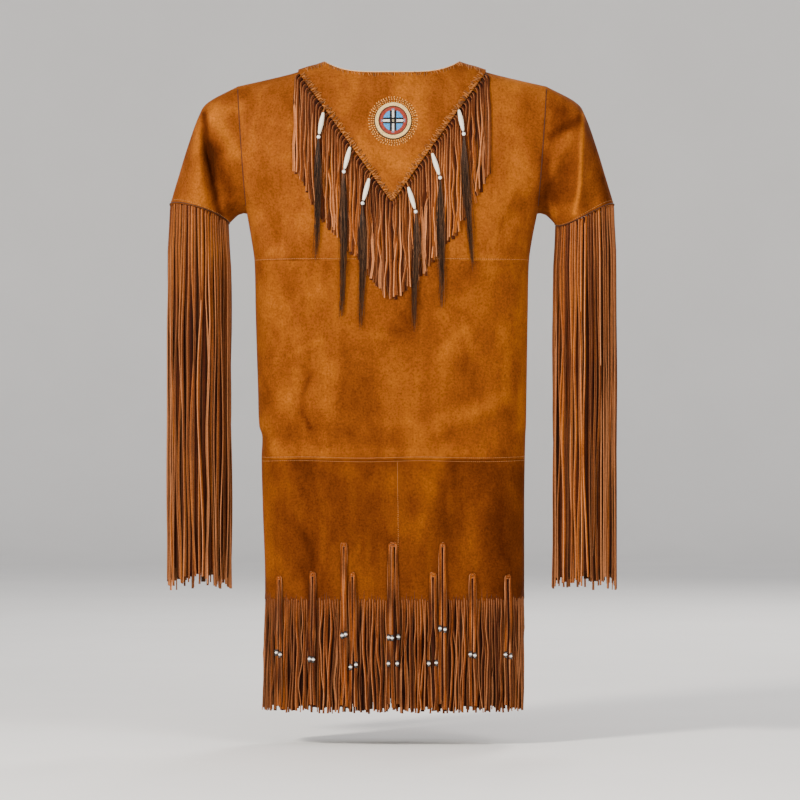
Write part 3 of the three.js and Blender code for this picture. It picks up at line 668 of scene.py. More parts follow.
def solid(name, points, faces, material, smooth=True):
    """A closed mesh object from points in millimetres, with its faces turned out."""
    points = np.asarray(points, float)
    faces = np.asarray(faces)
    corner = points[faces[:, 0]]
    volume = 0.0
    for k in range(1, faces.shape[1] - 1):
        volume += np.einsum("ij,ij->i", corner, np.cross(points[faces[:, k]], points[faces[:, k + 1]])).sum()
    if volume < 0:
        faces = faces[:, ::-1]
    mesh = bpy.data.meshes.new(name)
    mesh.from_pydata((points * MM).tolist(), [], faces.tolist())
    mesh.materials.append(material)
    if smooth:
        mesh.shade_smooth()
        mesh.set_sharp_from_angle(angle=math.radians(50))
    return link(name, mesh)


def wall(name, outer, inner, material, ring=False):
    """A cloth wall from two grids of points, [column, row, xyz]."""
    columns, rows = outer.shape[:2]
    index = np.arange(columns * rows).reshape(columns, rows)
    if ring:
        index = np.vstack([index, index[:1]])
    behind = index + columns * rows

    def quads(a, b, c, d):
        return np.stack([a, b, c, d], -1).reshape(-1, 4)

    faces = [
        quads(index[:-1, :-1], index[1:, :-1], index[1:, 1:], index[:-1, 1:]),
        quads(behind[:-1, 1:], behind[1:, 1:], behind[1:, :-1], behind[:-1, :-1]),
        quads(behind[:-1, 0], behind[1:, 0], index[1:, 0], index[:-1, 0]),
        quads(index[:-1, -1], index[1:, -1], behind[1:, -1], behind[:-1, -1]),
    ]
    if not ring:
        faces.append(quads(index[0, :-1], index[0, 1:], behind[0, 1:], behind[0, :-1]))
        faces.append(quads(behind[-1, :-1], behind[-1, 1:], index[-1, 1:], index[-1, :-1]))
    points = np.concatenate([outer.reshape(-1, 3), inner.reshape(-1, 3)])
    return solid(name, points, np.concatenate(faces), material)


def thickened(outer, turn, thickness):
    """The inner grid of a wall. On the middle plane the points move in that plane."""
    wide = np.gradient(outer, axis=0)
    tall = np.gradient(outer, axis=1)
    normal = np.cross(wide, tall) * turn
    normal[..., 1] = np.where(np.abs(outer[..., 1]) <= abs(SEAM_GAP), 0, normal[..., 1])
    return outer - normal / np.linalg.norm(normal, axis=-1, keepdims=True) * thickness


def paint_nap_and_shade(obj, side):
    """Stores the painted strokes on a suede piece: nap tone, with painted shade and highlights along folds.
    """
    places = np.empty(len(obj.data.vertices) * 3, np.float32)
    obj.data.vertices.foreach_get("co", places)
    x, _, z = places.reshape(-1, 3).T.astype(float) / MM
    # the nap column holds painted shade and painted highlights along folds as well as the nap's own tone
    store(obj.data, {"nap": brushed(x if side == "front" else -x, z)})


def polylines(name, paths, **columns):
    """Guides for the trees: open lines through points in millimetres, with named columns."""
    points = np.concatenate(paths)
    edges = []
    start = 0
    for path in paths:
        edges += [(k, k + 1) for k in range(start, start + len(path) - 1)]
        start += len(path)
    mesh = bpy.data.meshes.new(name)
    mesh.from_pydata((points * MM).tolist(), edges, [])
    store(mesh, columns)
    return link(name, mesh)


def scattered(name, points, **columns):
    """Guides for the trees: loose points in millimetres, with named columns."""
    mesh = bpy.data.meshes.new(name)
    mesh.from_pydata((np.asarray(points) * MM).tolist(), [], [])
    store(mesh, columns)
    return link(name, mesh)


def store(mesh, columns):
    for label, values in columns.items():
        values = np.ascontiguousarray(values, dtype=np.float32)
        kinds = {1: ("FLOAT", "value"), 3: ("FLOAT_VECTOR", "vector")}
        kind, field = kinds[1 if values.ndim == 1 else 3]
        mesh.attributes.new(label, kind, "POINT").data.foreach_set(field, values.ravel())


# Geometry Nodes trees
CUP = 0.0007


def wired(tree, kind, inputs, **settings):
    """A node with its settings, whose inputs are set to values or joined to other nodes' sockets."""
    node = tree.nodes.new(kind)
    for label, value in settings.items():
        setattr(node, label, value)
    for label, value in inputs.items():
        if isinstance(value, bpy.types.NodeSocket):
            tree.links.new(value, node.inputs[label])
        else:
            node.inputs[label].default_value = value
    return node


def new_tree(name, inputs):
    tree = bpy.data.node_groups.new(name, "GeometryNodeTree")
    tree.interface.new_socket("Geometry", in_out="INPUT", socket_type="NodeSocketGeometry")
    for label, kind in inputs:
        tree.interface.new_socket(label, in_out="INPUT", socket_type=kind)
    tree.interface.new_socket("Geometry", in_out="OUTPUT", socket_type="NodeSocketGeometry")
    return tree, tree.nodes.new("NodeGroupInput"), tree.nodes.new("NodeGroupOutput")


def attribute(tree, name, kind="FLOAT_VECTOR"):
    return wired(tree, "GeometryNodeInputNamedAttribute", {"Name": name}, data_type=kind).outputs["Attribute"]


def end_tree(tree, source, sink, last):
    made = wired(tree, "GeometryNodeRealizeInstances", {"Geometry": last}).outputs["Geometry"]
    inputs = {"Geometry": made, "Material": source.outputs["Material"]}
    painted = wired(tree, "GeometryNodeSetMaterial", inputs)
    tree.links.new(painted.outputs["Geometry"], sink.inputs["Geometry"])
    return tree


def worked_out(tree, operation, first, second):
    return wired(tree, "ShaderNodeMath", {0: first, 1: second}, operation=operation).outputs["Value"]


def cupped_section(tree, source):
    """The section of a strip: a thin oblong cupped a little, which keeps its share across the strip."""
    width = source.outputs["Width"]
    sides = {"Width": source.outputs["Thickness"], "Height": width}
    oblong = wired(tree, "GeometryNodeCurvePrimitiveQuadrilateral", sides)
    cut = wired(tree, "GeometryNodeSubdivideCurve", {"Curve": oblong.outputs["Curve"], "Cuts": 2})
    position = wired(tree, "GeometryNodeInputPosition", {}).outputs["Position"]
    parts = wired(tree, "ShaderNodeSeparateXYZ", {"Vector": position})
    share = worked_out(tree, "DIVIDE", parts.outputs["Y"], width)
    kept = wired(tree, "GeometryNodeStoreNamedAttribute", {
        "Geometry": cut.outputs["Curve"],
        "Name": "across",
        "Value": worked_out(tree, "MULTIPLY", share, 2.0),
    })
    drop = worked_out(tree, "MULTIPLY", worked_out(tree, "MULTIPLY", share, share), -4.0 * CUP)
    shift = wired(tree, "ShaderNodeCombineXYZ", {"X": drop}).outputs["Vector"]
    bent = wired(tree, "GeometryNodeSetPosition", {"Geometry": kept.outputs["Geometry"], "Offset": shift})
    return bent.outputs["Geometry"]


def along_paths(name, flat):
    """A tree that runs a strip or a round cord along each guide line, turned by its facing."""
    if flat:
        inputs = [("Width", "NodeSocketFloat"), ("Thickness", "NodeSocketFloat")]
    else:
        inputs = [("Radius", "NodeSocketFloat"), ("Sides", "NodeSocketInt")]
    inputs.append(("Material", "NodeSocketMaterial"))
    tree, source, sink = new_tree(name, inputs)
    if flat:
        profile = cupped_section(tree, source)
    else:
        size = {"Resolution": source.outputs["Sides"], "Radius": source.outputs["Radius"]}
        profile = wired(tree, "GeometryNodeCurvePrimitiveCircle", size).outputs["Curve"]
    curve = wired(tree, "GeometryNodeMeshToCurve", {"Mesh": source.outputs["Geometry"]}).outputs["Curve"]
    facing = {"Curve": curve, "Normal": attribute(tree, "facing")}
    turned = wired(tree, "GeometryNodeSetCurveNormal", facing, mode="FREE")
    sweep = wired(tree, "GeometryNodeCurveToMesh", {
        "Curve": turned.outputs["Curve"],
        "Profile Curve": profile,
        "Scale": attribute(tree, "taper", "FLOAT"),
        "Fill Caps": True,
    })
    smooth = {"Geometry": sweep.outputs["Mesh"], "Shade Smooth": not flat}
    shade = wired(tree, "GeometryNodeSetShadeSmooth", smooth)
    return end_tree(tree, source, sink, shade.outputs["Geometry"])


def copies(name):
    """A tree that puts a rounded bead or stitch on each guide point, turned by two directions."""
    sizes = ["Length", "Width", "Height"]
    inputs = [(label, "NodeSocketFloat") for label in sizes]
    inputs += [("Sides", "NodeSocketInt"), ("Rings", "NodeSocketInt"), ("Material", "NodeSocketMaterial")]
    tree, source, sink = new_tree(name, inputs)
    round_ball = {"Segments": source.outputs["Sides"], "Rings": source.outputs["Rings"], "Radius": 0.5}
    ball = wired(tree, "GeometryNodeMeshUVSphere", round_ball).outputs["Mesh"]
    size = wired(tree, "ShaderNodeCombineXYZ", dict(enumerate(source.outputs[label] for label in sizes)))
    parts = {0: size.outputs["Vector"], 1: attribute(tree, "grow")}
    grown = wired(tree, "ShaderNodeVectorMath", parts, operation="MULTIPLY")
    axes = {"Primary Axis": attribute(tree, "facing"), "Secondary Axis": attribute(tree, "along")}
    turn = wired(tree, "FunctionNodeAxesToRotation", axes, primary_axis="Z", secondary_axis="X")
    place = wired(tree, "GeometryNodeInstanceOnPoints", {
        "Points": source.outputs["Geometry"],
        "Instance": wired(tree, "GeometryNodeSetShadeSmooth", {"Geometry": ball}).outputs["Geometry"],
        "Rotation": turn.outputs["Rotation"],
        "Scale": grown.outputs["Vector"],
    })
    return end_tree(tree, source, sink, place.outputs["Instances"])


def tree_named(name, build, *args):
    return bpy.data.node_groups.get(name) or build(name, *args)


def grow(name, guide, tree, **values):
    """Runs a tree on a guide and returns the result as a plain mesh object."""
    modifier = guide.modifiers.new(tree.name, "NODES")
    modifier.node_group = tree
    for item in tree.interface.items_tree:
        label = item.name.lower()
        if item.item_type == "SOCKET" and item.in_out == "INPUT" and label in values:
            modifier[item.identifier] = values[label]
    depsgraph = bpy.context.evaluated_depsgraph_get()
    mesh = bpy.data.meshes.new_from_object(guide.evaluated_get(depsgraph), depsgraph=depsgraph)
    guide.modifiers.remove(modifier)
    bpy.data.objects.remove(guide)
    if len(mesh.polygons) == 0:
        raise RuntimeError(f"{name}: the tree made no faces")
    mesh.name = name
    return link(name, mesh)


def strips(name, guide, width, thickness, material):
    tree = tree_named("Strips along paths", along_paths, True)
    return grow(name, guide, tree, width=width, thickness=thickness, material=material)


def cords(name, guide, radius, sides, material):
    tree = tree_named("Cords along paths", along_paths, False)
    return grow(name, guide, tree, radius=radius, sides=sides, material=material)


def beads(name, guide, size, sides, rings, material):
    tree = tree_named("Copies on points", copies)
    length, width, height = (value * MM for value in size)
    return grow(name, guide, tree, length=length, width=width, height=height, sides=sides, rings=rings,
                material=material)


# Materials
class Paint:
    """A procedural material under construction: a principled shader and short calls for its nodes."""

    def __init__(self, name):
        self.material = bpy.data.materials.new(name)
        self.material.use_nodes = True
        self.tree = self.material.node_tree
        self.shader = self.tree.nodes["Principled BSDF"]
        self.place = self.node("ShaderNodeTexCoord").outputs["Object"]

    def node(self, kind, inputs=(), **settings):
        return wired(self.tree, kind, dict(inputs), **settings)

    def set(self, **values):
        for label, value in values.items():
            self.shader.inputs[label.replace("_", " ").title().replace("Ior", "IOR")].default_value = value
        return self

    def join(self, socket, label):
        self.tree.links.new(socket, self.shader.inputs[label])
        return self

    def mapped(self, scale=(1, 1, 1), turn=(0, 0, 0)):
        inputs = {"Scale": scale, "Rotation": turn, "Vector": self.place}
        return self.node("ShaderNodeMapping", inputs).outputs["Vector"]

    def noise(self, scale, detail=3.0, roughness=0.5, distortion=0.0, place=None):
        inputs = {"Scale": scale, "Detail": detail, "Roughness": roughness, "Distortion": distortion}
        inputs["Vector"] = place or self.place
        return self.node("ShaderNodeTexNoise", inputs).outputs["Fac"]

    def ramp(self, value, stops):
        node = self.node("ShaderNodeValToRGB", {"Fac": value})
        elements = node.color_ramp.elements
        while len(elements) < len(stops):
            elements.new(0.5)
        for element, (place, colour) in zip(elements, stops):
            element.position = place
            element.color = (*colour, 1) if hasattr(colour, "__len__") else (colour, colour, colour, 1)
        return node.outputs["Color"]

    def range(self, value, low, high, start=0.0, end=1.0):
        inputs = {"Value": value, "From Min": low, "From Max": high, "To Min": start, "To Max": end}
        return self.node("ShaderNodeMapRange", inputs).outputs["Result"]

    def math(self, operation, first, second):
        return worked_out(self.tree, operation, first, second)

    def mix(self, mode, share, first, second):
        first, second = ((*part, 1) if isinstance(part, tuple) else part for part in (first, second))
        inputs = {0: share, 6: first, 7: second}
        return self.node("ShaderNodeMix", inputs, data_type="RGBA", blend_type=mode).outputs[2]

    def column(self, name):
        return self.node("ShaderNodeAttribute", attribute_name=name)

    def colour(self, socket):
        return self.join(socket, "Base Color")

    def rough(self, socket):
        return self.join(socket, "Roughness")

    def bump(self, height, strength, distance):
        inputs = {"Height": height, "Strength": strength, "Distance": distance}
        return self.join(self.node("ShaderNodeBump", inputs).outputs["Normal"], "Normal")


def once(name, build, *args):
    """The material of that name, built the first time that a piece asks for it."""
    return bpy.data.materials.get(name) or build(name, *args)


def suede_tone(paint, shade, offset):
    """Suede's colour: patches where the nap lies one way or the other, streaks, a fine grain, and the stored
    strokes with their painted shade and highlights along folds.
    """
    cloth = bpy.context.scene.dress_cloth
    dye = (shade, shade**1.2, shade**1.2)
    hollow, deep, middle, light, painted_ridge_highlight = (
        tuple(c * part for c, part in zip(colour, dye))
        for colour in (cloth.hollow, cloth.deep, cloth.middle, cloth.light, cloth.painted_ridge_highlight)
    )
    place = paint.mapped((1.0, 1.0, 0.8), (0, 0, offset))
    blotch = paint.noise(7.0, 4.0, 0.55, 0.8, place)
    patch = paint.noise(31.0, 4.0, 0.55, 0.4, place)
    streak = paint.noise(10.0, 4.0, 0.6, 1.0, paint.mapped((1.9, 1.0, 0.7), (0, 0.6, offset)))
    grain = paint.noise(300.0, 3.0, 0.7)
    # the nap column adds the stored strokes: nap tone, with painted shade and highlights along folds
    parts = [(blotch, 0.48), (streak, 0.34), (patch, 0.18), (paint.column("nap").outputs["Fac"], 0.42)]
    level = 0.0
    for socket, weight in parts:
        level = paint.math("ADD", paint.math("MULTIPLY", socket, weight), level)
    # the lowest stop is painted shade deep in folds and the highest a painted highlight on fold ridges
    tone = paint.ramp(level, [(0.20, hollow), (0.33, deep), (0.48, middle), (0.66, light), (0.84, painted_ridge_highlight)])
    speckle = paint.ramp(grain, [(0.30, 0.46), (0.5, 0.98), (0.70, 1.42)])
    return paint.mix("MULTIPLY", 0.68, tone, speckle), grain, patch


def brushed_suede(name, shade, offset):
    """Suede of the panels, with a soft uneven nap and the painted shade and highlights of the stored strokes.
    """
    paint = Paint(name)
    tone, grain, patch = suede_tone(paint, shade, offset)
    paint.colour(tone).rough(paint.range(patch, 0.3, 0.7, 0.98, 0.84))
    paint.set(sheen_weight=0.02, sheen_roughness=0.45, sheen_tint=(1.0, 0.55, 0.2, 1))
    paint.set(specular_ior_level=0.03)
    return paint.bump(paint.math("ADD", grain, paint.math("MULTIPLY", patch, 1.2)), 0.5, 0.0014).material


def strip_suede(name, shade, offset, rim=0.50):
    """Fringe: suede faces, pinker cut edges and flesh side, a tone of its own for each strip, painted shade
    on one edge and a painted highlight on the other, and near-black tones that paint the shade of the rows
    behind.
    """
    fringe = bpy.context.scene.dress_fringe
    paint = Paint(name)
    tone, grain, patch = suede_tone(paint, shade, offset)
    normal = paint.node("ShaderNodeNewGeometry").outputs["Normal"]
    parts = {0: normal, 1: paint.column("facing").outputs["Vector"]}
    turn = paint.node("ShaderNodeVectorMath", parts, operation="DOT_PRODUCT")
    cut_edge_and_highlight = paint.range(turn.outputs["Value"], 0.45, 0.80, 0.7, 0.0)
    across = paint.column("across").outputs["Fac"]
    # the pale band on one edge of each strip, where across passes rim, is a painted highlight; the pale sides
    # where a strip turns away are its cut edges
    cut_edge_and_highlight = paint.math("MAXIMUM", cut_edge_and_highlight, paint.range(across, rim, rim + 0.35, 0.0, 1.0))
    pale = tuple(part * shade**0.7 for part in fringe.flesh)
    flesh = paint.mix("MULTIPLY", 0.7, pale, paint.ramp(grain, [(0.3, 0.6), (0.7, 1.2)]))
    own = paint.column("strand").outputs["Fac"]
    # the lowest tones are painted shade, for the rows behind that show only as shade
    face = paint.ramp(own, [
        (0.0, (0.11, 0.055, 0.04)),
        (0.09, (0.25, 0.16, 0.12)),
        (0.15, (0.36, 0.28, 0.42)),
        (0.5, (0.68, 0.65, 0.76)),
        (1.0, (1.42, 1.34, 1.10)),
    ])
    edge = paint.ramp(own, [(0.0, 0.12), (0.09, 0.26), (0.12, 0.6), (0.5, 1.1), (1.0, 1.6)])
    shadow = paint.range(across, -0.95, -0.25, 0.34, 1.0)
    tone = paint.mix("MULTIPLY", 1.0, tone, face)
    tone = paint.mix("MULTIPLY", 1.0, tone, shadow)
    flesh = paint.mix("MULTIPLY", 1.0, flesh, edge)
    paint.colour(paint.mix("MIX", cut_edge_and_highlight, tone, flesh))
    paint.rough(paint.range(patch, 0.3, 0.7, 0.95, 0.8))
    paint.set(sheen_weight=0.03, sheen_roughness=0.5, sheen_tint=(1.0, 0.7, 0.45, 1), specular_ior_level=0.10)
    return paint.bump(grain, 0.35, 0.001).material


def twisted_thread(name, colour, scale):
    """Waxed thread or thin thong: small twist marks and slight changes of tone."""
    paint = Paint(name)
    twist = paint.noise(scale, 2.0, 0.5, 0.4)
    own = paint.column("tone").outputs["Fac"]
    shades = paint.ramp(own, [(0.0, 0.16), (0.2, 0.6), (0.5, 1.0), (1.0, 1.4)])
    tone = paint.mix("MULTIPLY", 1.0, tuple(colour), shades)
    paint.colour(paint.mix("MULTIPLY", 0.6, tone, paint.ramp(twist, [(0.3, 0.6), (0.65, 1.1)])))
    paint.set(roughness=0.7, specular_ior_level=0.3)
    return paint.bump(twist, 0.4, 0.0004).material


def polished_bone(name):
    """Bone: ivory with fine long pores and a soft polish, yellower in its low places."""
    paint = Paint(name)
    pores = paint.noise(130.0, 4.0, 0.6, 0.2, paint.mapped((5.0, 5.0, 1.0)))
    cloud = paint.noise(60.0, 3.0, 0.5)
    ivory = [(0.3, (0.74, 0.58, 0.36)), (0.45, (0.95, 0.87, 0.70)), (0.7, (0.98, 0.94, 0.83))]
    tone = paint.ramp(cloud, ivory)
    paint.colour(paint.mix("MULTIPLY", 0.5, tone, paint.ramp(pores, [(0.35, 0.7), (0.5, 1.0)])))
    paint.rough(paint.range(cloud, 0.3, 0.7, 0.42, 0.26))
    paint.set(subsurface_weight=0.12, subsurface_scale=0.002, coat_weight=0.25, coat_roughness=0.25)
    return paint.bump(pores, 0.2, 0.0003).material


def glass_bead(name, colour, roughness):
    """Opaque pressed glass, a little cloudy, with its colour uneven from bead to bead."""
    paint = Paint(name)
    cloud = paint.noise(240.0, 2.0, 0.5)
    tone = paint.mix("MULTIPLY", 0.5, tuple(colour), paint.ramp(cloud, [(0.3, 0.72), (0.7, 1.15)]))
    paint.colour(tone).rough(paint.range(cloud, 0.3, 0.7, roughness + 0.1, roughness))
    return paint.set(coat_weight=0.5, coat_roughness=0.12, specular_ior_level=0.6).material


BEAD_GLASS = {"white": ((0.92, 0.90, 0.84), 0.16), "black": ((0.012, 0.010, 0.010), 0.14)}


def bead_glass(colour):
    return once("bead_" + colour, glass_bead, *BEAD_GLASS[colour])


def seam_thread():
    return once("seam_thread", twisted_thread, tuple(bpy.context.scene.dress_trim.thread), 1500.0)


def border_thong():
    return once("border_thong", twisted_thread, tuple(bpy.context.scene.dress_trim.lacing), 700.0)


def charted_beads(name):
    """Seed beads whose colour is worked out bead by bead and stored on them."""
    paint = Paint(name)
    own = paint.column("tint").outputs["Color"]
    cloud = paint.noise(700.0, 1.0, 0.5)
    tone = paint.mix("MULTIPLY", 0.4, own, paint.ramp(cloud, [(0.3, 0.8), (0.7, 1.1)]))
    paint.colour(tone).rough(paint.range(cloud, 0.3, 0.7, 0.42, 0.28))
    return paint.set(coat_weight=0.1, coat_roughness=0.2, specular_ior_level=0.3).material


def horse_hair(name):
    """Coarse dark hair with a brown cast in some strands."""
    paint = Paint(name)
    own = paint.column("strand").outputs["Fac"]
    fine = paint.noise(90.0, 2.0, 0.5, 0.0, paint.mapped((6, 6, 1)))
    browns = [(0.0, (0.008, 0.004, 0.002)), (0.6, (0.026, 0.012, 0.006)), (1.0, (0.15, 0.066, 0.030))]
    tone = paint.ramp(own, browns)
    paint.colour(paint.mix("MULTIPLY", 0.6, tone, paint.ramp(fine, [(0.3, 0.6), (0.7, 1.3)])))
    paint.rough(paint.range(fine, 0.3, 0.7, 0.5, 0.34))
    return paint.set(anisotropic=0.4, specular_ior_level=0.14).material


def plain_studio(name):
    paint = Paint(name)
    grain = paint.noise(3.0, 3.0, 0.5)
    paint.colour(paint.ramp(grain, [(0.3, (0.88, 0.87, 0.85)), (0.7, (0.91, 0.90, 0.88))]))
    return paint.set(roughness=0.9).material


def settle_in(obj, slot, *nodes):
    """Hangs a piece on the root body and hides the CAD nodes that it stands for. The slot, the finish it
    would take, is not used.
    """
    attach(obj, "root")
    if nodes:
        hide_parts(*nodes)
    return obj


def lay_cords(name, paths, facing, radius, material, slot, taper=1.0, tone=0.5):
    """Round cords along paths. A single facing, taper or tone holds for every point."""
    count = sum(len(path) for path in paths)
    guide = polylines(name + "_lines", paths, facing=np.broadcast_to(facing, (count, 3)),
                      taper=np.broadcast_to(taper, count), tone=np.broadcast_to(tone, count))
    return settle_in(cords(name, guide, radius * MM, CORD_SIDES, material), slot)


def seeded(*numbers):
    return np.random.default_rng([17, *numbers])


# Suede panels
def body_grid(side, name):
    """Outer points of a body panel, [column, row, xyz]."""
    cell = bpy.context.scene.dress_cloth.cell / MM
    shares = even_shares(cell)
    if name.endswith("_left"):
        shares = -shares[::-1]
    elif not name.endswith("_right"):
        shares = np.concatenate([-shares[:0:-1], shares])
    if "bodice" in name:
        low = np.full(shares.shape, UPPER_SEAM_Z + SEAM_GAP / 2)
        high = bodice_top(shares)
    elif "middle" in name:
        low = np.full(shares.shape, LOWER_SEAM_Z + SEAM_GAP / 2)
        high = np.full(shares.shape, UPPER_SEAM_Z - SEAM_GAP / 2)
    else:
        low = hem_line(shares)
        high = np.full(shares.shape, LOWER_SEAM_Z - SEAM_GAP / 2)
    t = spaced(float((high - low).max()), cell)
    if "bodice" in name:
        t = lerp(t, np.sin(t * math.pi / 2), 0.6)
    z = lerp(low[:, None], high[:, None], t[None, :])
    share = np.repeat(shares[:, None], len(t), axis=1)
    x = across_x(share, z)
    if "skirt" in name:
        x = x + np.where(np.abs(share) < 1e-9, (0.5 if name.endswith("_right") else -0.5) * SEAM_GAP, 0)
    out = OUT[side]
    return np.stack([x, out * (body_depth(side, x, z) + SEAM_GAP / 2), z], -1), out


def across_x(share, z):
    return share * half_width(share, z) + CENTRE_SEAM_X * (1 - np.abs(share))


def bodice_top(shares):
    z = np.full(shares.shape, float(SHOULDER_TIP[1]))
    for _ in range(8):
        z = top_z(across_x(shares, z))
    return z


def hem_line(shares):
    """The slits of the hem fringe end at slightly different heights."""
    return HEM_Z + 2.6 * np.sin(shares * 173) + 2.0 * np.sin(shares * 97 + 1) - 1.5


class DRESS_OT_panels(bpy.types.Operator):
    """Body panels: thin suede walls on the CAD's form, with soft creases and sewn edges"""

    bl_idname = "dress.panels"
    bl_label = "Body panels"

    def execute(self, context):
        skirt_shade = context.scene.dress_cloth.skirt_shade
        # Lit and shaded copies of one suede: the bodice is painted brighter and the middle darker, as painted
        # light falling from above; the skirt is a darker, redder hide, also painted darker
        hides_lit_and_shaded = {
            "bodice": once("suede_upper", brushed_suede, 1.02, 0.0),
            "middle": once("suede_middle", brushed_suede, 0.85, 0.9),
            "skirt": once("suede_skirt", brushed_suede, skirt_shade, 2.2),
        }
        for name, side in SUEDE_PANELS.items():
            outer, out = body_grid(side, name)
            hide = hides_lit_and_shaded[name.split("_")[1]]
            panel = wall(name + "_suede", outer, thickened(outer, -out, SUEDE), hide)
            paint_nap_and_shade(panel, side)
            settle_in(panel, "suede", name)
        return {"FINISHED"}


class DRESS_OT_sleeves(bpy.types.Operator):
    """Sleeves: one suede tube each, folded under the arm, with a dark cord round the cuff"""

    bl_idname = "dress.sleeves"
    bl_label = "Sleeves"

    def execute(self, context):
        cell = context.scene.dress_cloth.cell / MM
        turn = np.linspace(0, 2 * math.pi, round(440 / cell), endpoint=False)
        s = spaced(235, cell)
        hide = once("suede_sleeves", brushed_suede, 0.93, 0.0)
        cord = once("cuff_cord", twisted_thread, (0.060, 0.018, 0.006), 900.0)
        for hand in ("left", "right"):
            node = "sleeve_" + hand
            outer = on_sleeve(hand, s[None, :], turn[:, None])
            inner = on_sleeve(hand, s[None, :], turn[:, None], np.full((1, 1), SUEDE))
            sleeve = wall(node + "_suede", outer, inner, hide, ring=True)
            paint_nap_and_shade(sleeve, "front")
            settle_in(sleeve, "suede", node)
            path = on_sleeve(hand, 0.992, np.linspace(0, 2 * math.pi, 121), np.full(1, -0.5))
            lay_cords("cuff_cord_" + hand, [path], UP, 0.85, cord, "suede", tone=0.4)
            self.cuff_stitches(hand)
            self.armhole_shade_line(hand, cord)
        return {"FINISHED"}

    @staticmethod
    def cuff_stitches(hand):
        """A row of small pale stitches just above the cuff's edge."""
        turn = np.linspace(0, 2 * math.pi, 241)
        points, runs = spots_along(on_sleeve(hand, 0.97, turn, np.full(1, -0.1)), 4.0)
        middle = points.mean(axis=0)
        facing = (points - middle) * (1, 1, 0)
        facing /= np.linalg.norm(facing, axis=-1, keepdims=True)
        tone = seeded(4, 7, len(hand)).uniform(0.2, 0.6, len(points))
        lay_stitches("cuff_stitches_" + hand, points, facing, runs, (2.6, 0.7, 0.6), seam_thread(), tone)

    @staticmethod
    def armhole_shade_line(hand, cord):
        """The dark line where a sleeve is set into the body, front and back: a thread cord painted dark as
        the seam's shade.
        """
        mirror = MIRROR[hand]
        paths = []
        for side in ("front", "back"):
            z = np.linspace(-226, -26, 110)
            x = mirror * (half_width(mirror, z) - 0.6)
            paths.append(on_body(side, x, z, 0.25 + 0.12 * np.sin(z * 1.7)))
        lay_cords("armhole_shade_" + hand, paths, FORWARD, 0.75, cord, "suede", tone=0.35)


class DRESS_OT_yoke(bpy.types.Operator):
    """Yoke: a pointed suede layer on the chest that rises over the fringe under its edge"""

    bl_idname = "dress.yoke"
    bl_label = "Yoke"

    def execute(self, context):
        cell = context.scene.dress_cloth.cell / MM
        u = np.linspace(-1, 1, round(2 * YOKE_HALF / cell) + 8)
        x = YOKE_HALF * u * (1.12 - 0.12 * u * u)
        top = top_z(x, 0.2)
        bottom = np.minimum(yoke_edge_z(x), top - 3)
        t = spaced(230, cell)
        t = lerp(t, np.sin(t * math.pi / 2), 0.5)
        z = lerp(bottom[:, None], top[:, None], t[None, :])
        wide = np.repeat(x[:, None], len(t), axis=1)
        outer = on_yoke(wide, z, YOKE_THICK)
        hide = once("suede_yoke", brushed_suede, 0.96, 4.1)
        yoke = wall("yoke_suede", outer, on_yoke(wide, z, 0.0), hide)
        paint_nap_and_shade(yoke, "front")
        settle_in(yoke, "suede", "yoke")
        return {"FINISHED"}


# Fringe
class Strands:
    """Guide lines of strips or hairs, with the columns that the trees and the materials read."""

    def __init__(self):
        self.paths, self.facings, self.tapers, self.tones = [], [], [], []

    def add(self, path, facing, taper, tone):
        self.paths.append(path)
        self.facings.append(np.broadcast_to(facing, path.shape))
        self.tapers.append(np.broadcast_to(taper, len(path)))
        self.tones.append(np.broadcast_to(tone, len(path)))

    def guide(self, name):
        facing, taper, strand = (np.concatenate(part) for part in (self.facings, self.tapers, self.tones))
        return polylines(name, self.paths, facing=facing, taper=taper, strand=strand)


def twisted(normal, path, angle):
    """Turns the facing of a strip about its own line by an angle at each point."""
    line = np.gradient(path, axis=0)
    line /= np.linalg.norm(line, axis=-1, keepdims=True)
    across = np.cross(line, normal)
    across /= np.linalg.norm(across, axis=-1, keepdims=True)
    square = np.cross(across, line)
    turned = square * np.cos(angle)[:, None] + across * np.sin(angle)[:, None]
    return turned


def sway(rng, t, reach):
    """A lazy sideways wave that starts at nothing and grows down the strip."""
    waves = np.zeros(len(t))
    for cycles in (0.6, 1.4, 2.6):
        waves += rng.normal() / (0.6 + cycles) * np.sin(2 * math.pi * cycles * t + rng.uniform(0, 6.3))
    return reach * waves * np.minimum(1, t * 3.0)


def flip(rng, t):
    """How far a strip turns about its own line; a few turn right over to their flesh side."""
    turn = rng.normal(0, 0.4) * smoothstep(t, 0.0, 0.3) + rng.normal(0, 0.5) * t**2
    if rng.uniform() < 0.08:
        start = rng.uniform(0.05, 0.6)
        turn = turn + rng.choice([-3.1, 3.1]) * smoothstep(t, start, start + 0.22)
    return turn


def hem_strip(side, place, root, tip, rng, layer, loose=1.0, dive=(0.02, 0.2)):
    """One strip from the slit's top to its cut end, which leaves the cloth's own surface for its layer."""
    t = np.linspace(0, 1, 15)
    z = lerp(root, tip, t)
    drift = loose * (sway(rng, t, 2.4) + rng.normal(0, 1.5) * t**2)
    x = across_x(share_round(np.clip(place + drift / SECTION_LENGTH, -0.998, 0.998)), z)
    depth = layer * smoothstep(t, *dive) + 0.7 * np.sin(9 * t + 40 * place) * smoothstep(t, 0, 0.4)
    path = on_body(side, x, z, depth - 0.8)
    return path, twisted(outward(side, x, z), path, loose * flip(rng, t))


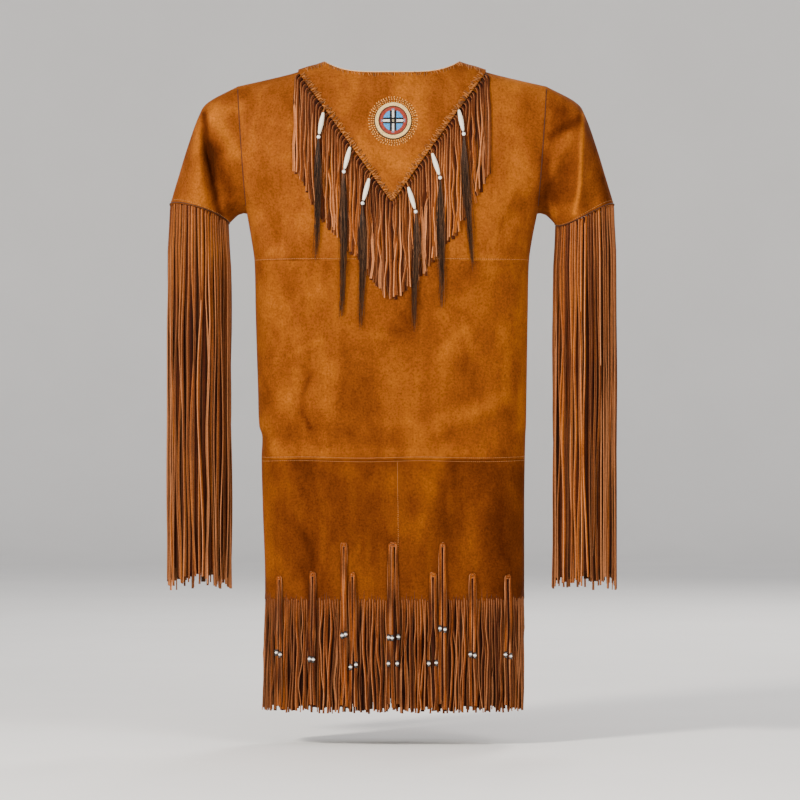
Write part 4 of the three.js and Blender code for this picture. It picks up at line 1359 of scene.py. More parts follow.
def hem_strips(strands, side, hand, count, rng):
    """One skirt panel's fringe, an even distance apart round the section."""
    for k in range(count):
        place = MIRROR[hand] * (k + 0.5) / count
        root = float(hem_line(share_round(np.array([place])))[0]) + rng.uniform(3.0, 5.0)
        tip = HEM_TIP_Z + rng.uniform(-4.5, 4)
        path, facing = hem_strip(side, place, root, tip, rng, HEM_LAYERS[k % 3])
        t = np.linspace(0, 1, len(path))
        taper = lerp(0.92, rng.uniform(0.68, 0.86), smoothstep(t, 0.0, 0.07)) * (1 - 0.12 * t)
        strands.add(path, facing, taper, lerp(0.70, rng.uniform(0.2, 1), smoothstep(t, 0.0, 0.25)))


def shaded_hem(strands, side, hand, count, rng):
    """A row close behind the first, painted near black as shade, which shows only as shade between its
    strips.
    """
    for k in range(count):
        place = MIRROR[hand] * k / (count - 1)
        tip = HEM_TIP_Z + 3 + rng.uniform(-5, 5)
        path, facing = hem_strip(side, place, HEM_Z - 2, tip, rng, -3.6, 0.3, (-0.1, 0.05))
        strands.add(path, facing, 1.25, np.linspace(0, rng.uniform(0.04, 0.12), len(path)))


class DRESS_OT_hem_fringe(bpy.types.Operator):
    """Hem fringe: the skirt's lower part slit into narrow strips that part and overlap"""

    bl_idname = "dress.hem_fringe"
    bl_label = "Hem fringe"

    def execute(self, context):
        fringe = context.scene.dress_fringe
        hide = once("suede_hem_strips", strip_suede, context.scene.dress_cloth.skirt_shade * 0.98, 2.2)
        for number, side in enumerate(OUT):
            for hand in MIRROR:
                rng = seeded(number, len(hand))
                strands = Strands()
                hem_strips(strands, side, hand, fringe.hem_count, rng)
                shaded_hem(strands, side, hand, int(fringe.hem_count * 0.8), rng)
                node = f"{side}_hem_fringe_{hand}"
                guide = strands.guide("hem_lines")
                made = strips(node + "_strips", guide, fringe.hem_width, fringe.thickness, hide)
                settle_in(made, "fringe_suede", node)
            self.slits(side, fringe.hem_count, seeded(2, number))
        return {"FINISHED"}

    @staticmethod
    def slits(side, count, rng):
        """Painted shade in the slits: thin dark cords of uneven height that run up from the hem's strips into
        the skirt where its strips part.
        """
        paths, tones = [], []
        for place in np.arange(-count + 1, count) / count:
            share = share_round(np.full(6, place + rng.uniform(-0.003, 0.003)))
            low = float(hem_line(share[:1])[0]) - 1.0
            z = np.linspace(low, low + 3 + 13 * rng.uniform() ** 2, 6)
            paths.append(on_body(side, across_x(share, z), z, 0.0))
            tones += [rng.uniform(0.1, 0.6)] * 6
        taper = np.tile(np.linspace(1.0, 0.25, 6), len(paths))
        dark = once("hem_slit", twisted_thread, (0.075, 0.020, 0.008), 900.0)
        lay_cords("hem_slits_" + side, paths, FORWARD, 0.55, dark, "fringe_suede", taper, tones)


def sleeve_strips(strands, hand, count, inset, rng):
    """Strips that leave the cuff and hang straight down, in one row round it."""
    mirror = MIRROR[hand]
    fine = np.linspace(0, 2 * math.pi, 721)
    length = run_lengths(on_sleeve(hand, 1.0, fine))
    places = np.arange(count) + 0.5 + rng.uniform(-0.22, 0.22, count)
    shaded = inset > 0
    t = np.linspace(0, 1, 18)
    for turn in np.interp(places / count * length[-1], length, fine):
        start = on_sleeve(hand, 1.0, turn)
        out = np.array([math.cos(turn) * mirror, -math.sin(turn), 0.0])
        side = np.array([-out[1], out[0], 0.0])
        tip = SLEEVE_TIP_Z + 11 * rng.uniform(-1, 1) + 4.5 * math.sin(turn) + 16 * shaded
        drop = lerp(0.8, start[2] - tip, t)
        flare = 4.0 * smoothstep(drop, 0, 90) - inset * smoothstep(drop, 0, 20) - SUEDE / 2
        flare = flare + sway(rng, t, 1.4)
        slide = (0.3 if shaded else 1.0) * (sway(rng, t, 3.2) + rng.normal(0, 2.2) * t**2)
        path = start + out * flare[:, None] + side * slide[:, None]
        path[:, 2] = start[2] - drop
        facing = twisted(np.tile(out, (len(t), 1)), path, (0.2 if shaded else 1.0) * flip(rng, t))
        own = 1.8 if shaded else rng.uniform(0.74, 1.06)
        taper = lerp(0.9, own, smoothstep(t, 0.01, 0.1)) * (1 - 0.12 * t)
        # Painted light: strips are painted brighter on the side towards the key lamp and darker away from it,
        # and the row behind is painted near black as shade
        painted_light = 0.88 + 0.07 * mirror - 0.26 * math.cos(turn) * mirror
        tone = rng.uniform(0.03, 0.11) if shaded else painted_light * rng.uniform(0.13, 1)
        strands.add(path, facing, taper, tone)


class DRESS_OT_sleeve_fringe(bpy.types.Operator):
    """Sleeve fringe: two rows of long strips round each cuff, hanging straight down"""

    bl_idname = "dress.sleeve_fringe"
    bl_label = "Sleeve fringe"

    def execute(self, context):
        fringe = context.scene.dress_fringe
        hide = once("suede_strips", strip_suede, 0.86, 1.7)
        for number, hand in enumerate(MIRROR):
            rng = seeded(5, number)
            strands = Strands()
            for count, inset in ((fringe.sleeve_count, 0.0), (int(fringe.sleeve_count * 0.8), 4.5)):
                sleeve_strips(strands, hand, count, inset, rng)
            node = "sleeve_fringe_" + hand
            guide = strands.guide("sleeve_lines")
            made = strips(node + "_strips", guide, fringe.sleeve_width, fringe.thickness, hide)
            settle_in(made, "fringe_suede", node)
        return {"FINISHED"}


def yoke_strip(x0, lift, rng, loose=1.0):
    """A strip that leaves the yoke's edge at a right angle, bends and hangs straight down."""
    sign = np.sign(x0) if abs(x0) > 1e-6 else 0.0
    edge = np.array([x0, float(yoke_edge_z(x0))])
    slant = np.array([0.81 * sign, -0.58]) * min(1.0, abs(x0) / 22)
    slant = np.array([slant[0], -math.sqrt(max(0.05, 1 - slant[0] ** 2))])
    start = edge - slant * 5.0
    reach = -float(np.interp(x0 + sign * 7, YOKE_TIPS["x"], YOKE_TIPS["z"])) + start[1]
    steps = np.concatenate([np.linspace(0, 18, 7)[:-1], np.linspace(18, reach, 11)])
    steps[-1] += rng.uniform(-6, 3)
    bend = smoothstep(steps, 6, 17)
    heading = np.stack([slant[0] * (1 - bend), slant[1] * (1 - bend) - bend], -1)
    heading /= np.linalg.norm(heading, axis=-1, keepdims=True)
    moves = np.diff(steps)[:, None] * (heading[:-1] + heading[1:]) / 2
    line = np.concatenate([[start], start + np.cumsum(moves, axis=0)])
    t = np.clip((steps - 14) / (reach - 14), 0, 1)
    x = line[:, 0] + sway(rng, t, 2.4) + rng.normal(0, 1.8) * t**2
    z = np.minimum(line[:, 1], ridge_z(x) - 3)
    rise = lerp(1.3, lift, smoothstep(steps, 4, 9)) + 1.6 * np.exp(-(((steps - 10) / 4) ** 2))
    path = on_body("front", x, z, rise + 0.5 * np.sin(8 * t + x0))
    facing = twisted(outward("front", x, z), path, loose * flip(rng, t))
    taper = lerp(0.82, rng.uniform(0.8, 1.15), smoothstep(t, 0, 0.3))
    return path, facing, taper


class DRESS_OT_yoke_fringe(bpy.types.Operator):
    """Yoke fringe: strips that leave the pointed edge at a right angle and hang down the chest"""

    bl_idname = "dress.yoke_fringe"
    bl_label = "Yoke fringe"

    def execute(self, context):
        fringe = context.scene.dress_fringe
        rng = seeded(9, 1)
        strands = Strands()
        for count, lift, shaded in ((fringe.yoke_count, 2.6, False), (fringe.yoke_count - 13, 0.9, True)):
            for x0 in np.linspace(-158, 158, count):
                path, facing, taper = yoke_strip(x0 + rng.normal(0, 0.5), lift, rng, 0.25 if shaded else 1.0)
                t = np.linspace(0, 1, len(path))
                taper = taper * lerp(1.7, 1.2, t) if shaded else taper
                # Painted shade: the row behind is painted near black, and the outer strips are painted darker
                # at the top as the border's shadow
                top, low = (0.0, rng.uniform(0.05, 0.2)) if shaded else (0.2, rng.uniform(0.3, 1.0))
                strands.add(path, facing, taper, lerp(top, low, smoothstep(t, 0.2, 0.75)))
        guide = strands.guide("yoke_lines")
        hide = once("suede_strips", strip_suede, 0.86, 1.7)
        made = strips("yoke_fringe_strips", guide, fringe.yoke_width, fringe.thickness, hide)
        settle_in(made, "fringe_suede", "yoke_fringe")
        return {"FINISHED"}


# Laces
def lace_tail(x0, x1, top_z, end_z, rng, points=14):
    """Places of a tail from the top of its lace to its end, in x and z."""
    t = np.linspace(0, 1, points)
    x = lerp(x0, x1, smoothstep(t, 0, 0.5)) + sway(rng, t, 1.5) * smoothstep(t, 0.05, 0.5)
    return np.stack([x, lerp(top_z, end_z, t)], -1)


def lace_lift(z):
    """How far a lace stands off the suede: close at the top and over the fringe lower down."""
    return lerp(2.6, 4.4, smoothstep(-z, 850, 910))


class DRESS_OT_laces(bpy.types.Operator):
    """Laces: thongs tied through the skirt, doubled over, with beads on their tails"""

    bl_idname = "dress.laces"
    bl_label = "Laces"

    def execute(self, context):
        rng = seeded(3, 3)
        strands = Strands()
        spots = {"white": [], "black": []}
        holes = []
        for lace in LACES:
            ends = [LACE_END_Z + rng.uniform(-3, 8) for _ in lace.tails]
            tails = [
                lace_tail(lerp(lace.top_x, x, 0.9), x, lace.top_z - 5, end, rng)
                for x, end in zip(lace.tails, ends)
            ]
            centre = (tails[0][0, 0] + tails[-1][0, 0]) / 2
            half = (tails[-1][0, 0] - tails[0][0, 0]) / 2
            holes.append((centre, lace.top_z - 5.5))
            self.tie(strands, lace, tails, centre, half, rng)
            # A strip painted near black under each pair of tails: painted shade between them
            middle = (lace.tails[0] + lace.tails[-1]) / 2
            x, z = lace_tail(centre, middle, lace.top_z - 9, max(ends) + 6, rng).T
            between = on_body("front", x, z, lace_lift(z) - 1.7)
            strands.add(between, outward("front", x, z), min(1.3, half / 3.1), 0.03)
            for tail, height in lace.beads:
                line = tails[tail]
                x = float(np.interp(-height, -line[:, 1], line[:, 0]))
                spots["white"].append((x, height))
                spots["black"] += [(x, height + 3.8), (x, height - 3.8)]
        hide = once("suede_laces", strip_suede, 0.66, 3.3, 0.62)
        made = strips("laces", strands.guide("lace_lines"), 5.0 * MM, 2.2 * MM, hide)
        settle_in(made, "fringe_suede", *[f"lace_{n + 1}" for n in range(len(LACES))])
        self.holes(*np.array(holes).T)
        self.thread_beads(spots)
        return {"FINISHED"}

    @staticmethod
    def tie(strands, lace, tails, centre, half, rng):
        """The loop with its two outer tails, the short knot across it, and any tail between them."""
        arc = np.linspace(math.pi, 0, 9)[1:-1]
        over = np.stack([centre + half * np.cos(arc), lace.top_z - 5 + 4 * np.sin(arc)], -1)
        reach = half + 0.5
        knot_z = lace.top_z - 5.5 + rng.uniform(-1.5, 1.5, 2)
        knot = np.stack([centre + np.linspace(-reach, reach, 5), np.linspace(*knot_z, 5)], -1)
        lines = [np.concatenate([tails[0][::-1], over, tails[-1]]), knot] + tails[1:-1]
        for x, z in (line.T for line in lines):
            bump = 1.6 * np.exp(-(((z - lace.top_z) / 5) ** 2))
            path = on_body("front", x, z, lace_lift(z) + bump)
            facing = twisted(outward("front", x, z), path, 0.5 * np.sin(z / 27 + lace.top_x + x))
            own = rng.uniform(0.4, 0.8) + 0.25 * np.sin(z / 17 + x)
            # the top of each loop is painted at full tone, a painted highlight
            tone = np.clip(np.where(z > lace.top_z - 12, 1.0, own), 0.15, 1)
            strands.add(path, facing, np.where(z > lace.top_z - 8, 0.75, 1.0), tone)

    @staticmethod
    def thread_beads(spots):
        sizes = {"white": (4.6, 6.2, 7.0), "black": (3.9, 6.8, 7.4)}
        for colour, places in spots.items():
            x, z = np.array(places).T
            points = on_body("front", x, z, lace_lift(z))
            guide = scattered("bead_spots", points, facing=outward("front", x, z), grow=np.ones((len(x), 3)),
                              along=np.tile([0.0, 0.0, -1.0], (len(x), 1)))
            made = beads("lace_beads_" + colour, guide, sizes[colour], 14, 8, bead_glass(colour))
            settle_in(made, "bead")

    @staticmethod
    def holes(x, z):
        """The slits that the laces come out of, as thin dark lenses on the suede that paint the shade inside
        them.
        """
        dark = once("lace_hole", twisted_thread, (0.035, 0.012, 0.004), 900.0)
        points = on_body("front", x, z, 0.1)
        lay_stitches("lace_holes", points, outward("front", x, z), np.tile([0.0, 0.0, -1.0], (len(x), 1)),
                     (7.0, 3.6, 0.8), dark, np.full(len(x), 0.5), 10, 6)


# Stitching
def lay_stitches(name, points, facing, along_line, size, material, tone, sides=6, rings=5):
    guide = scattered("stitch_spots", points, facing=facing, along=along_line, tone=tone,
                      grow=np.ones((len(points), 3)))
    return settle_in(beads(name, guide, size, sides, rings, material), "suede")


def even_steps(line, pitch, ahead=0.0):
    """Points a pitch apart along a line of points, each moved on by ahead."""
    length = run_lengths(line)
    places = np.arange(pitch / 2, length[-1], pitch) + ahead
    return np.stack([np.interp(places, length, column) for column in line.T], -1)


def spots_along(path, pitch):
    """Points a pitch apart on a line, and the line's direction at each."""
    run = even_steps(path, pitch, 0.5) - even_steps(path, pitch, -0.5)
    return even_steps(path, pitch), run / np.linalg.norm(run, axis=-1, keepdims=True)


class DRESS_OT_seams(bpy.types.Operator):
    """Seams: small topstitches beside the cross seams and the skirt's upright seam"""

    bl_idname = "dress.seams"
    bl_label = "Seams"

    def execute(self, context):
        pitch = context.scene.dress_trim.seam_pitch / MM
        for side in ("front", "back"):
            points, facing, runs = [], [], []
            wide = np.linspace(-0.995, 0.995, 400)
            for height, offset in ((UPPER_SEAM_Z, 3.2), (LOWER_SEAM_Z, 3.0), (LOWER_SEAM_Z, -3.4)):
                z = height + offset + 0.9 * np.sin(wide * 7) * (1 if height == LOWER_SEAM_Z else 0.4)
                self.run(side, wide * half_width(wide, z), z, pitch, points, facing, runs)
            z = np.linspace(LOWER_SEAM_Z - 5, HEM_Z + 4, 160)
            self.run(side, CENTRE_SEAM_X + 3.0 + 0.5 * np.sin(z / 33), z, pitch, points, facing, runs)
            points, facing, runs = (np.concatenate(part) for part in (points, facing, runs))
            tone = seeded(4, len(side)).uniform(0.35, 0.75, len(points))
            size = (0.72 * pitch, 0.75, 0.7)
            lay_stitches("topstitch_" + side, points, facing, runs, size, seam_thread(), tone)
        return {"FINISHED"}

    @staticmethod
    def run(side, x, z, pitch, points, facing, runs):
        path = on_body(side, x, z, 0.15)
        spots, directions = spots_along(path, pitch)
        points.append(spots)
        runs.append(directions)
        facing.append(outward(side, spots[:, 0], spots[:, 2]))


def whipped(edge, inward, lean, depth, over, rng):
    """Arched stitches that cross an edge: from inside the piece, over its face and round its edge."""
    paths = []
    for (x, z), (in_x, in_z) in zip(edge, inward):
        turn = lean + rng.normal(0, 0.42)
        across, up = math.cos(turn), math.sin(turn)
        in_x, in_z = in_x * across - in_z * up, in_x * up + in_z * across
        reach = np.array([1.0, 0.86, 0.5, 0.12, -0.04]) * depth * rng.uniform(0.7, 1.15)
        lift = np.array([-0.3, 0.7, 1.3, 0.9, -over])
        points_z = z + in_z * reach
        points_x = x + in_x * reach
        points_z = np.minimum(points_z, ridge_z(points_x) - 1)
        paths.append(on_yoke(points_x, points_z, YOKE_THICK + lift))
    return paths


class DRESS_OT_border(bpy.types.Operator):
    """Yoke border: thong whipped over the pointed edge, crossed by finer stitches, and the neckline"""

    bl_idname = "dress.border"
    bl_label = "Yoke border"

    def execute(self, context):
        pitch = context.scene.dress_trim.border_pitch / MM
        thong = border_thong()
        rng = seeded(6, 2)
        stitches, crossings = [], []
        for sign in (-1, 1):
            ends = np.array([[sign * (YOKE_HALF - 4), -6.0], [sign * 1.5, YOKE_POINT_Z + 2.0]])
            inside = np.array([-sign * 0.812, 0.583])
            spots = even_steps(ends, pitch)
            inward = np.tile(inside, (len(spots), 1))
            stitches += whipped(spots, inward, sign * 0.35, 8.0, 1.2, rng)
            crossings += whipped(spots + inside * 4.0, inward, sign * 0.1, 7.0, 0.2, rng)
        self.sew("yoke_border_stitches", stitches, 1.2, thong, 0.05, 0.8, rng)
        self.sew("yoke_border_crossings", crossings, 0.65, thong, 0.1, 1.0, rng)
        self.neckline(thong, rng)
        return {"FINISHED"}

    @staticmethod
    def sew(name, paths, radius, material, darkest, palest, rng):
        facing = np.concatenate([outward("front", path[:, 0], path[:, 2]) for path in paths])
        taper = np.tile([0.7, 1.0, 1.1, 1.0, 0.8], len(paths))
        tone = np.repeat(rng.uniform(darkest, palest, len(paths)), len(paths[0]))
        lay_cords(name, paths, facing, radius, material, "suede", taper, tone)

    def neckline(self, thong, rng):
        x = np.linspace(-150, 150, 600)
        top = top_z(x, 3)
        spots = even_steps(np.stack([x, top - 1.0], -1), 4.6)
        inward = np.tile([0.0, -1.0], (len(spots), 1))
        paths = whipped(spots, inward, 0.3, 7.0, 0.6, rng)
        self.sew("neckline_stitches", paths, 0.8, thong, 0.1, 1.0, rng)
        inside = np.abs(x) < NECK_HALF - 1
        edge = on_yoke(x[inside], top[inside] - 0.3, YOKE_THICK * 0.9)
        pale = once("neck_edge", twisted_thread, (0.74, 0.44, 0.21), 500.0)
        lay_cords("neckline_cut_edge", [edge], UP, 0.85, pale, "suede", tone=0.6)


# Beaded disc
RING_COLOURS = {
    "cream": (1.0, 0.74, 0.32), "white": (1.0, 0.96, 0.88), "red": (0.42, 0.062, 0.034),
    "blue": (0.10, 0.42, 0.82), "black": (0.012, 0.012, 0.014), "grey": (0.30, 0.27, 0.40),
    "tan": (0.55, 0.46, 0.28),
}
CROSS_HALF = 2.0
LINE_FAR = 5.2


def disc_lift(r):
    """Height of the bead bed: flat inside, with a raised outer rim."""
    return 1.3 + 1.2 * smoothstep(r, 23.4, 25.2)


def ring_colour(r, turn):
    """Colour of a bead of the outer rings: cream rim, then red with a grey mark inside each quarter."""
    if r > 24.4:
        return "cream"
    quarter = abs((math.degrees(turn) + 45) % 90 - 45)
    return "grey" if quarter < 8 and r < 20.5 else "red"


def field_colour(x, z):
    """Colour of a bead of the inner field: a white cross edged with black on blue."""
    near, far = min(abs(x), abs(z)), max(abs(x), abs(z))
    if far < CROSS_HALF:
        return "tan"
    if near < CROSS_HALF and far < LINE_FAR:
        return "black"
    if near < CROSS_HALF:
        return "white"
    if near < LINE_FAR:
        return "black"
    return "blue"


def bead_chart(size):
    """Every bead of the disc: place, direction of its hole, and colour."""
    rows = []
    r = ROSETTE_RADIUS - 0.9
    while r > 18.0:
        count = round(2 * math.pi * r / (size * 0.80))
        for k in range(count):
            turn = 2 * math.pi * (k + 0.5 * (int(r * 10) % 2)) / count
            rows.append((r * math.cos(turn), r * math.sin(turn), turn + math.pi / 2, ring_colour(r, turn)))
        r -= size * 0.90
    steps = int(17.2 / size / 0.92)
    for i in range(-steps, steps + 1):
        for j in range(-22, 23):
            x, z = j * size * 0.80, i * size * 0.92
            if math.hypot(x, z) < 17.4:
                rows.append((x, z, 0.0, field_colour(x, z)))
    return rows


class DRESS_OT_rosette(bpy.types.Operator):
    """Beaded disc: rings and rows of seed beads on a round backing, in a halo of thread"""

    bl_idname = "dress.rosette"
    bl_label = "Beaded disc"

    def execute(self, context):
        self.backing()
        size = context.scene.dress_trim.seed_bead / MM
        rows = bead_chart(size)
        x, z, turn = (np.array([row[k] for row in rows]) for k in range(3))
        rng = seeded(8, 1)
        lift = YOKE_THICK + LAY_GAP + disc_lift(np.hypot(x, z)) + 0.35 * size
        points = on_yoke(x + ROSETTE_X, z + ROSETTE_Z, lift)
        ahead = on_yoke(x + ROSETTE_X + np.cos(turn), z + ROSETTE_Z + np.sin(turn), lift)
        tint = np.array([RING_COLOURS[row[3]] for row in rows]) * rng.uniform(0.86, 1.08, (len(rows), 1))
        guide = scattered("bead_spots", points, facing=outward("front", points[:, 0], points[:, 2]),
                          along=ahead - points, grow=rng.uniform(0.94, 1.04, (len(rows), 3)), tint=tint)
        finish = once("seed_beads", charted_beads)
        made = beads("rosette_beads", guide, (size * 0.86, size, size), 7, 5, finish)
        settle_in(made, "beadwork")
        self.halo(context)
        return {"FINISHED"}

    def backing(self):
        radii = np.concatenate([np.linspace(0.5, 23, 12), [24.2, 25.4, 27, 29, ROSETTE_RADIUS]])
        turn = np.linspace(0, 2 * math.pi, 72, endpoint=False)
        x = ROSETTE_X + np.cos(turn)[:, None] * radii[None, :]
        z = ROSETTE_Z + np.sin(turn)[:, None] * radii[None, :]
        top = on_yoke(x, z, YOKE_THICK + LAY_GAP + disc_lift(radii)[None, :])
        base = on_yoke(x, z, np.full(x.shape, YOKE_THICK + 0.2))
        felt = once("disc_backing", twisted_thread, (0.34, 0.22, 0.12), 900.0)
        settle_in(wall("rosette_backing", top, base, felt, ring=True), "beadwork", "rosette")
        # Dark lines round the disc: at its outer edge and at the foot of its raised rim
        turn = np.linspace(0, 2 * math.pi, 97)
        rings = []
        for radius, lift in ((ROSETTE_RADIUS + 0.8, 0.6), (24.0, LAY_GAP + 3.2)):
            x, z = ROSETTE_X + radius * np.cos(turn), ROSETTE_Z + radius * np.sin(turn)
            rings.append(on_yoke(x, z, YOKE_THICK + lift))
        dark = once("ring_thread", twisted_thread, (0.050, 0.036, 0.022), 900.0)
        lay_cords("rosette_rings", rings, FORWARD, 0.65, dark, "beadwork")

    def halo(self, context):
        """Short thread stitches that hold the disc, set like rays in rows, some pale and some dark."""
        thread = once("halo_thread", twisted_thread, (0.58, 0.250, 0.050), 900.0)
        rng = seeded(8, 2)
        points, runs, tone = [], [], []
        rows = (
            (33.2, 54, 0.15, 0.75), (35.2, 54, 0.0, -0.30), (36.8, 58, 0.3, 0.80), (38.6, 58, -0.15, -0.25),
            (40.6, 54, -0.35, 0.70),
        )
        for radius, count, lean, base in rows:
            turn = np.arange(count) / count * 2 * math.pi + rng.normal(0, 0.012, count)
            r = radius + rng.normal(0, 0.35, count)
            heading = turn + lean + rng.normal(0, 0.12, count)
            x, z = ROSETTE_X + r * np.cos(turn), ROSETTE_Z + r * np.sin(turn)
            spots = on_yoke(x, z, YOKE_THICK + 0.3)
            ahead = on_yoke(x + np.cos(heading), z + np.sin(heading), YOKE_THICK + 0.3)
            points.append(spots)
            runs.append(ahead - spots)
            tone.append(base + rng.uniform(-0.35, 0.35, count))
        points, runs = np.concatenate(points), np.concatenate(runs)
        facing = outward("front", points[:, 0], points[:, 2])
        tone = np.clip(np.concatenate(tone), 0, 1)
        lay_stitches("rosette_halo", points, facing, runs, (3.7, 1.8, 1.8), thread, tone, 6, 5)


# Drops
def on_drop(drop, down):
    x, z = drop.x + drop.lean * down, drop.z - down
    return on_body("front", x, z, DROP_LIFT + BONE_RADIUS + 0.5 * bulge(x, z, STRAND_SPAN))


def lathed(profile, start, end, sides):
    """A grid of points round a turned shape that stands between two points."""
    start, end = np.asarray(start, float), np.asarray(end, float)
    axis = (end - start) / np.linalg.norm(end - start)
    wide = np.cross(axis, [0.0, 1.0, 0.0])
    wide /= np.linalg.norm(wide)
    deep = np.cross(axis, wide)
    turn = np.linspace(0, 2 * math.pi, sides, endpoint=False)
    rings = [
        start + axis * place + radius * (np.cos(turn)[:, None] * wide + np.sin(turn)[:, None] * deep)
        for radius, place in profile
    ]
    return np.stack(rings, axis=1)


def turned_pieces(name, groups, material):
    """One object from several turned shapes, each a ring grid closed onto itself."""
    points, faces, start = [], [], 0
    for grid in groups:
        sides, rings = grid.shape[:2]
        index = start + np.arange(sides * rings).reshape(sides, rings)
        index = np.vstack([index, index[:1]])
        index = np.hstack([index, index[:, :1]])
        corners = [index[:-1, :-1], index[1:, :-1], index[1:, 1:], index[:-1, 1:]]
        faces.append(np.stack(corners, -1).reshape(-1, 4))
        points.append(grid.reshape(-1, 3))
        start += sides * rings
    return solid(name, np.concatenate(points), np.concatenate(faces), material)


def bone_profile():
    """Radius and place along a bone tube, down its outside and back up its bore."""
    t = np.linspace(0, 1, 15)
    outside = 1.9 + 2.0 * np.sin(math.pi * t) ** 0.9
    profile = [(1.3, 0.0), (1.7, 0.15)]
    profile += [(radius, 0.4 + (BONE_LENGTH - 0.8) * place) for radius, place in zip(outside, t)]
    return profile + [(1.7, BONE_LENGTH - 0.15), (1.3, BONE_LENGTH)]


def bead_profile(radius):
    t = np.linspace(0.12, 0.88, 10)
    outside = [(radius * math.sin(math.pi * a), radius * (1 - math.cos(math.pi * a))) for a in t]
    return [(0.9, outside[0][1])] + outside + [(0.9, outside[-1][1])]


class DRESS_OT_drops(bpy.types.Operator):
    """Drops: bone tubes with a dark spacer and a round bead, hung from the yoke by a thong"""

    bl_idname = "dress.drops"
    bl_label = "Bones and beads"

    def execute(self, context):
        bones, balls, spacers, thongs = [], [], [], []
        for drop in DROPS:
            top, foot = on_drop(drop, 0), on_drop(drop, BONE_LENGTH)
            bones.append(lathed(bone_profile(), foot, top, 20))
            below = BONE_LENGTH + 0.2
            line = top + (foot - top) * (below / BONE_LENGTH)
            spacer_foot = top + (foot - top) * ((below + 1.4) / BONE_LENGTH)
            spacers.append(lathed([(0.9, 0.0), (2.3, 0.15), (2.3, 1.25), (0.9, 1.4)], spacer_foot, line, 16))
            ball_foot = on_drop(drop, below + 1.5 + 2 * BEAD_RADIUS)
            balls.append(lathed(bead_profile(BEAD_RADIUS), ball_foot, spacer_foot, 20))
            x, z = drop.x + drop.lean * np.array([-9.0, -4.0, 1.0]), drop.z + np.array([9.0, 4.0, -1.0])
            middle = (on_yoke(x[1], z[1], 3.2) + top) / 2
            thongs.append(np.stack([on_yoke(x[0], z[0], 1.0), middle, foot * 0.06 + top * 0.94]))
        names = range(1, len(DROPS) + 1)
        settle_in(turned_pieces("bone_tubes", bones, once("bone", polished_bone)), "bone",
                  *[f"bone_{n}" for n in names])
        settle_in(turned_pieces("drop_beads", balls, bead_glass("white")), "bead",
                  *[f"bead_{n}" for n in names])
        settle_in(turned_pieces("drop_spacers", spacers, bead_glass("black")), "bead")
        lay_cords("drop_thongs", thongs, FORWARD, 0.9, border_thong(), "fringe_suede")
        return {"FINISHED"}


class DRESS_OT_hair(bpy.types.Operator):
    """Locks of horsehair, each from a drop's bead to a thin point"""

    bl_idname = "dress.hair"
    bl_label = "Hair"

    def execute(self, context):
        trim = context.scene.dress_trim
        rng = seeded(7, 7)
        strands = Strands()
        for drop in DROPS:
            start_down = BONE_LENGTH + 2 * BEAD_RADIUS + 1.2
            full_down = drop.z - drop.hair_z
            for _ in range(trim.hairs):
                own_length = full_down - start_down
                own_length *= rng.uniform(0.9, 1.0) if rng.uniform() < 0.2 else rng.uniform(0.42, 0.94)
                t = np.linspace(0, 1, 12)
                down = start_down + own_length * t
                whole = (down - start_down) / (full_down - start_down)
                bend = drop.drift * whole**2 + 2.0 * np.sin(5 * whole + drop.x) * whole
                middle = drop.x + drop.lean * start_down + bend
                swell = 0.7 + 3.9 * np.sin(np.minimum(1, whole * 3.0) * math.pi / 2) - 1.9 * whole**1.4
                lane, depth = float(np.clip(rng.normal(0, 0.6), -1.3, 1.3)), rng.uniform(0, 1)
                z = drop.z - down
                x = middle + lane * swell + sway(rng, t, 2.0)
                fold = 1.1 * bulge(middle, z, STRAND_SPAN)
                path = on_body("front", x, z, DROP_LIFT + 1.0 + fold + depth * np.minimum(3.4, swell))
                strands.add(path, FORWARD, 1 - 0.7 * t**1.5, rng.uniform())
        guide = strands.guide("hair_lines")
        made = cords("hair_locks", guide, trim.hair_radius, 4, once("horse_hair", horse_hair))
        settle_in(made, "horsehair", *[f"hair_{n + 1}" for n in range(len(DROPS))])
        return {"FINISHED"}


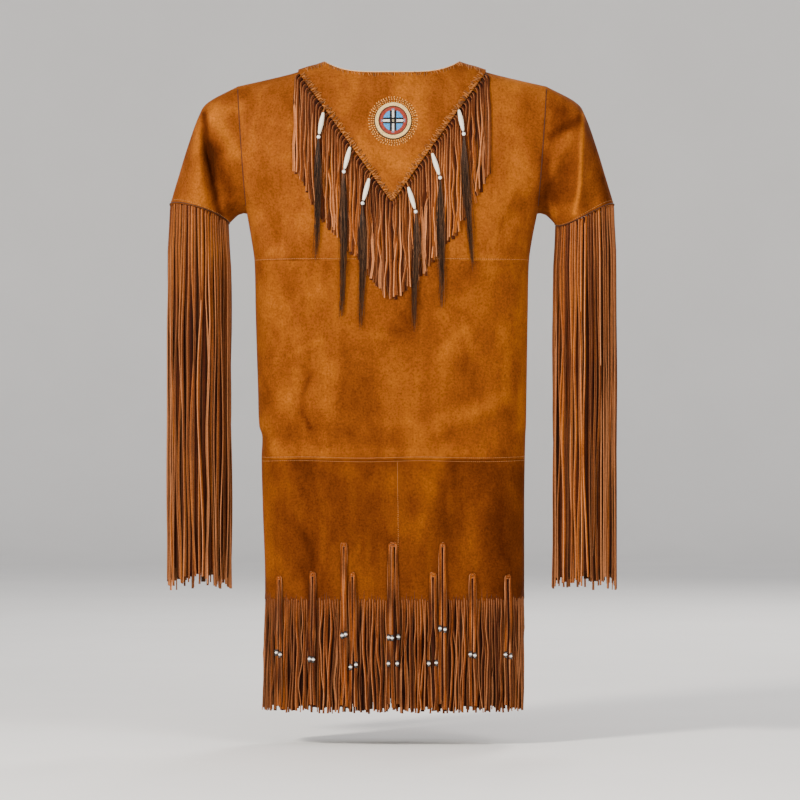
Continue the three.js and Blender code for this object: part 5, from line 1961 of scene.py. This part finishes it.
# Stage
class DRESS_OT_stage(bpy.types.Operator):
    """Stage: a pale round floor that sweeps up into a backdrop, soft lights and the camera"""

    bl_idname = "dress.stage"
    bl_label = "Stage"

    def execute(self, context):
        stage = context.scene.dress_stage
        self.sweep(stage.floor_z)
        aim = Vector((stage.view_x, 0.0, stage.view_z))
        chest = aim + Vector((0, 0, 0.2))
        self.lamp("key", (-2.9, -3.1, 1.6), chest, 0.8, stage.key_power, (1.0, 0.94, 0.86))
        self.lamp("fill", (2.4, -3.4, 1.0), aim, 2.2, stage.fill_power, (1.0, 0.95, 0.9))
        self.lamp("back", (1.6, 4.4, 2.2), aim, 1.6, stage.back_power, (1.0, 0.96, 0.92))
        world = bpy.data.worlds.new("studio")
        world.use_nodes = True
        background = world.node_tree.nodes["Background"]
        background.inputs["Color"].default_value = (0.93, 0.94, 1.0, 1)
        background.inputs["Strength"].default_value = 0.55
        context.scene.world = world
        self.camera(stage, aim)
        return {"FINISHED"}

    @staticmethod
    def sweep(floor_z):
        """A round floor whose rim curves up all round into a backdrop, wider than the camera's distance."""
        flat, radius, high, sides = 8.2, 1.4, 4.6, 96
        bend = np.linspace(0, math.pi / 2, 12)
        reach = np.concatenate([[0.5, 3.0], flat + radius * np.sin(bend), [flat + radius]])
        rise = np.concatenate([[0.0, 0.0], radius * (1 - np.cos(bend)), [high]])
        turn = np.linspace(0, 2 * math.pi, sides, endpoint=False)
        x, y = np.cos(turn)[:, None] * reach, np.sin(turn)[:, None] * reach
        points = np.stack([x, y, np.broadcast_to(floor_z + rise, x.shape)], -1).reshape(-1, 3)
        rows = len(reach)
        faces = [tuple(k * rows for k in range(sides))]
        for k in range(sides):
            here, after = k * rows, (k + 1) % sides * rows
            faces += [(here + j, here + j + 1, after + j + 1, after + j) for j in range(rows - 1)]
        mesh = bpy.data.meshes.new("floor")
        mesh.from_pydata(points.tolist(), [], faces)
        mesh.materials.append(once("studio_paper", plain_studio))
        mesh.shade_smooth()
        link("floor", mesh)

    @staticmethod
    def lamp(name, place, aim, size, power, colour):
        light = bpy.data.lights.new(name, "AREA")
        light.shape = "DISK"
        light.size = size
        light.energy = power
        light.color = colour
        lamp = bpy.data.objects.new(name, light)
        lamp.location = place
        lamp.rotation_euler = (aim - Vector(place)).to_track_quat("-Z", "Y").to_euler()
        lamp.visible_camera = False
        bpy.context.scene.collection.objects.link(lamp)

    @staticmethod
    def camera(stage, aim):
        """The photograph's framing: its whole width spans 800 pixels at the dress's own plane."""
        camera = bpy.data.cameras.new("camera")
        camera.sensor_width = 36.0
        frame_width = 800 * stage.millimetres_per_pixel * MM
        camera.lens = camera.sensor_width * stage.camera_distance / frame_width
        obj = bpy.data.objects.new("camera", camera)
        obj.location = (aim.x, -stage.camera_distance - 0.04, aim.z)
        obj.rotation_euler = (math.pi / 2, 0, 0)
        bpy.context.scene.collection.objects.link(obj)
        bpy.context.scene.camera = obj


GROUPS = {
    "dress_cloth": DressCloth,
    "dress_fringe": DressFringe,
    "dress_trim": DressTrim,
    "dress_stage": DressStage,
}
STEPS = (
    DRESS_OT_stage,
    DRESS_OT_panels,
    DRESS_OT_sleeves,
    DRESS_OT_yoke,
    DRESS_OT_hem_fringe,
    DRESS_OT_sleeve_fringe,
    DRESS_OT_yoke_fringe,
    DRESS_OT_laces,
    DRESS_OT_seams,
    DRESS_OT_border,
    DRESS_OT_rosette,
    DRESS_OT_drops,
    DRESS_OT_hair,
)


class DRESS_PT_steps(bpy.types.Panel):
    """Every step of the dress, with its sizes and colours"""

    bl_label = "Fringe dress"
    bl_space_type = "VIEW_3D"
    bl_region_type = "UI"
    bl_category = "Fringe dress"

    def draw(self, context):
        for step in STEPS:
            self.layout.operator(step.bl_idname)
        for label in GROUPS:
            group = getattr(context.scene, label)
            box = self.layout.box()
            for name in group.bl_rna.properties.keys():
                if name not in ("rna_type", "name"):
                    box.prop(group, name)


def register():
    for label, group in GROUPS.items():
        bpy.utils.register_class(group)
        setattr(bpy.types.Scene, label, PointerProperty(type=group))
    for item in (*STEPS, DRESS_PT_steps):
        bpy.utils.register_class(item)


def unregister():
    for item in (DRESS_PT_steps, *reversed(STEPS)):
        bpy.utils.unregister_class(item)
    for label, group in reversed(GROUPS.items()):
        delattr(bpy.types.Scene, label)
        bpy.utils.unregister_class(group)


def main():
    register()
    for step in STEPS:
        group, name = step.bl_idname.split(".")
        getattr(getattr(bpy.ops, group), name)()


if __name__ == "__main__":
    main()
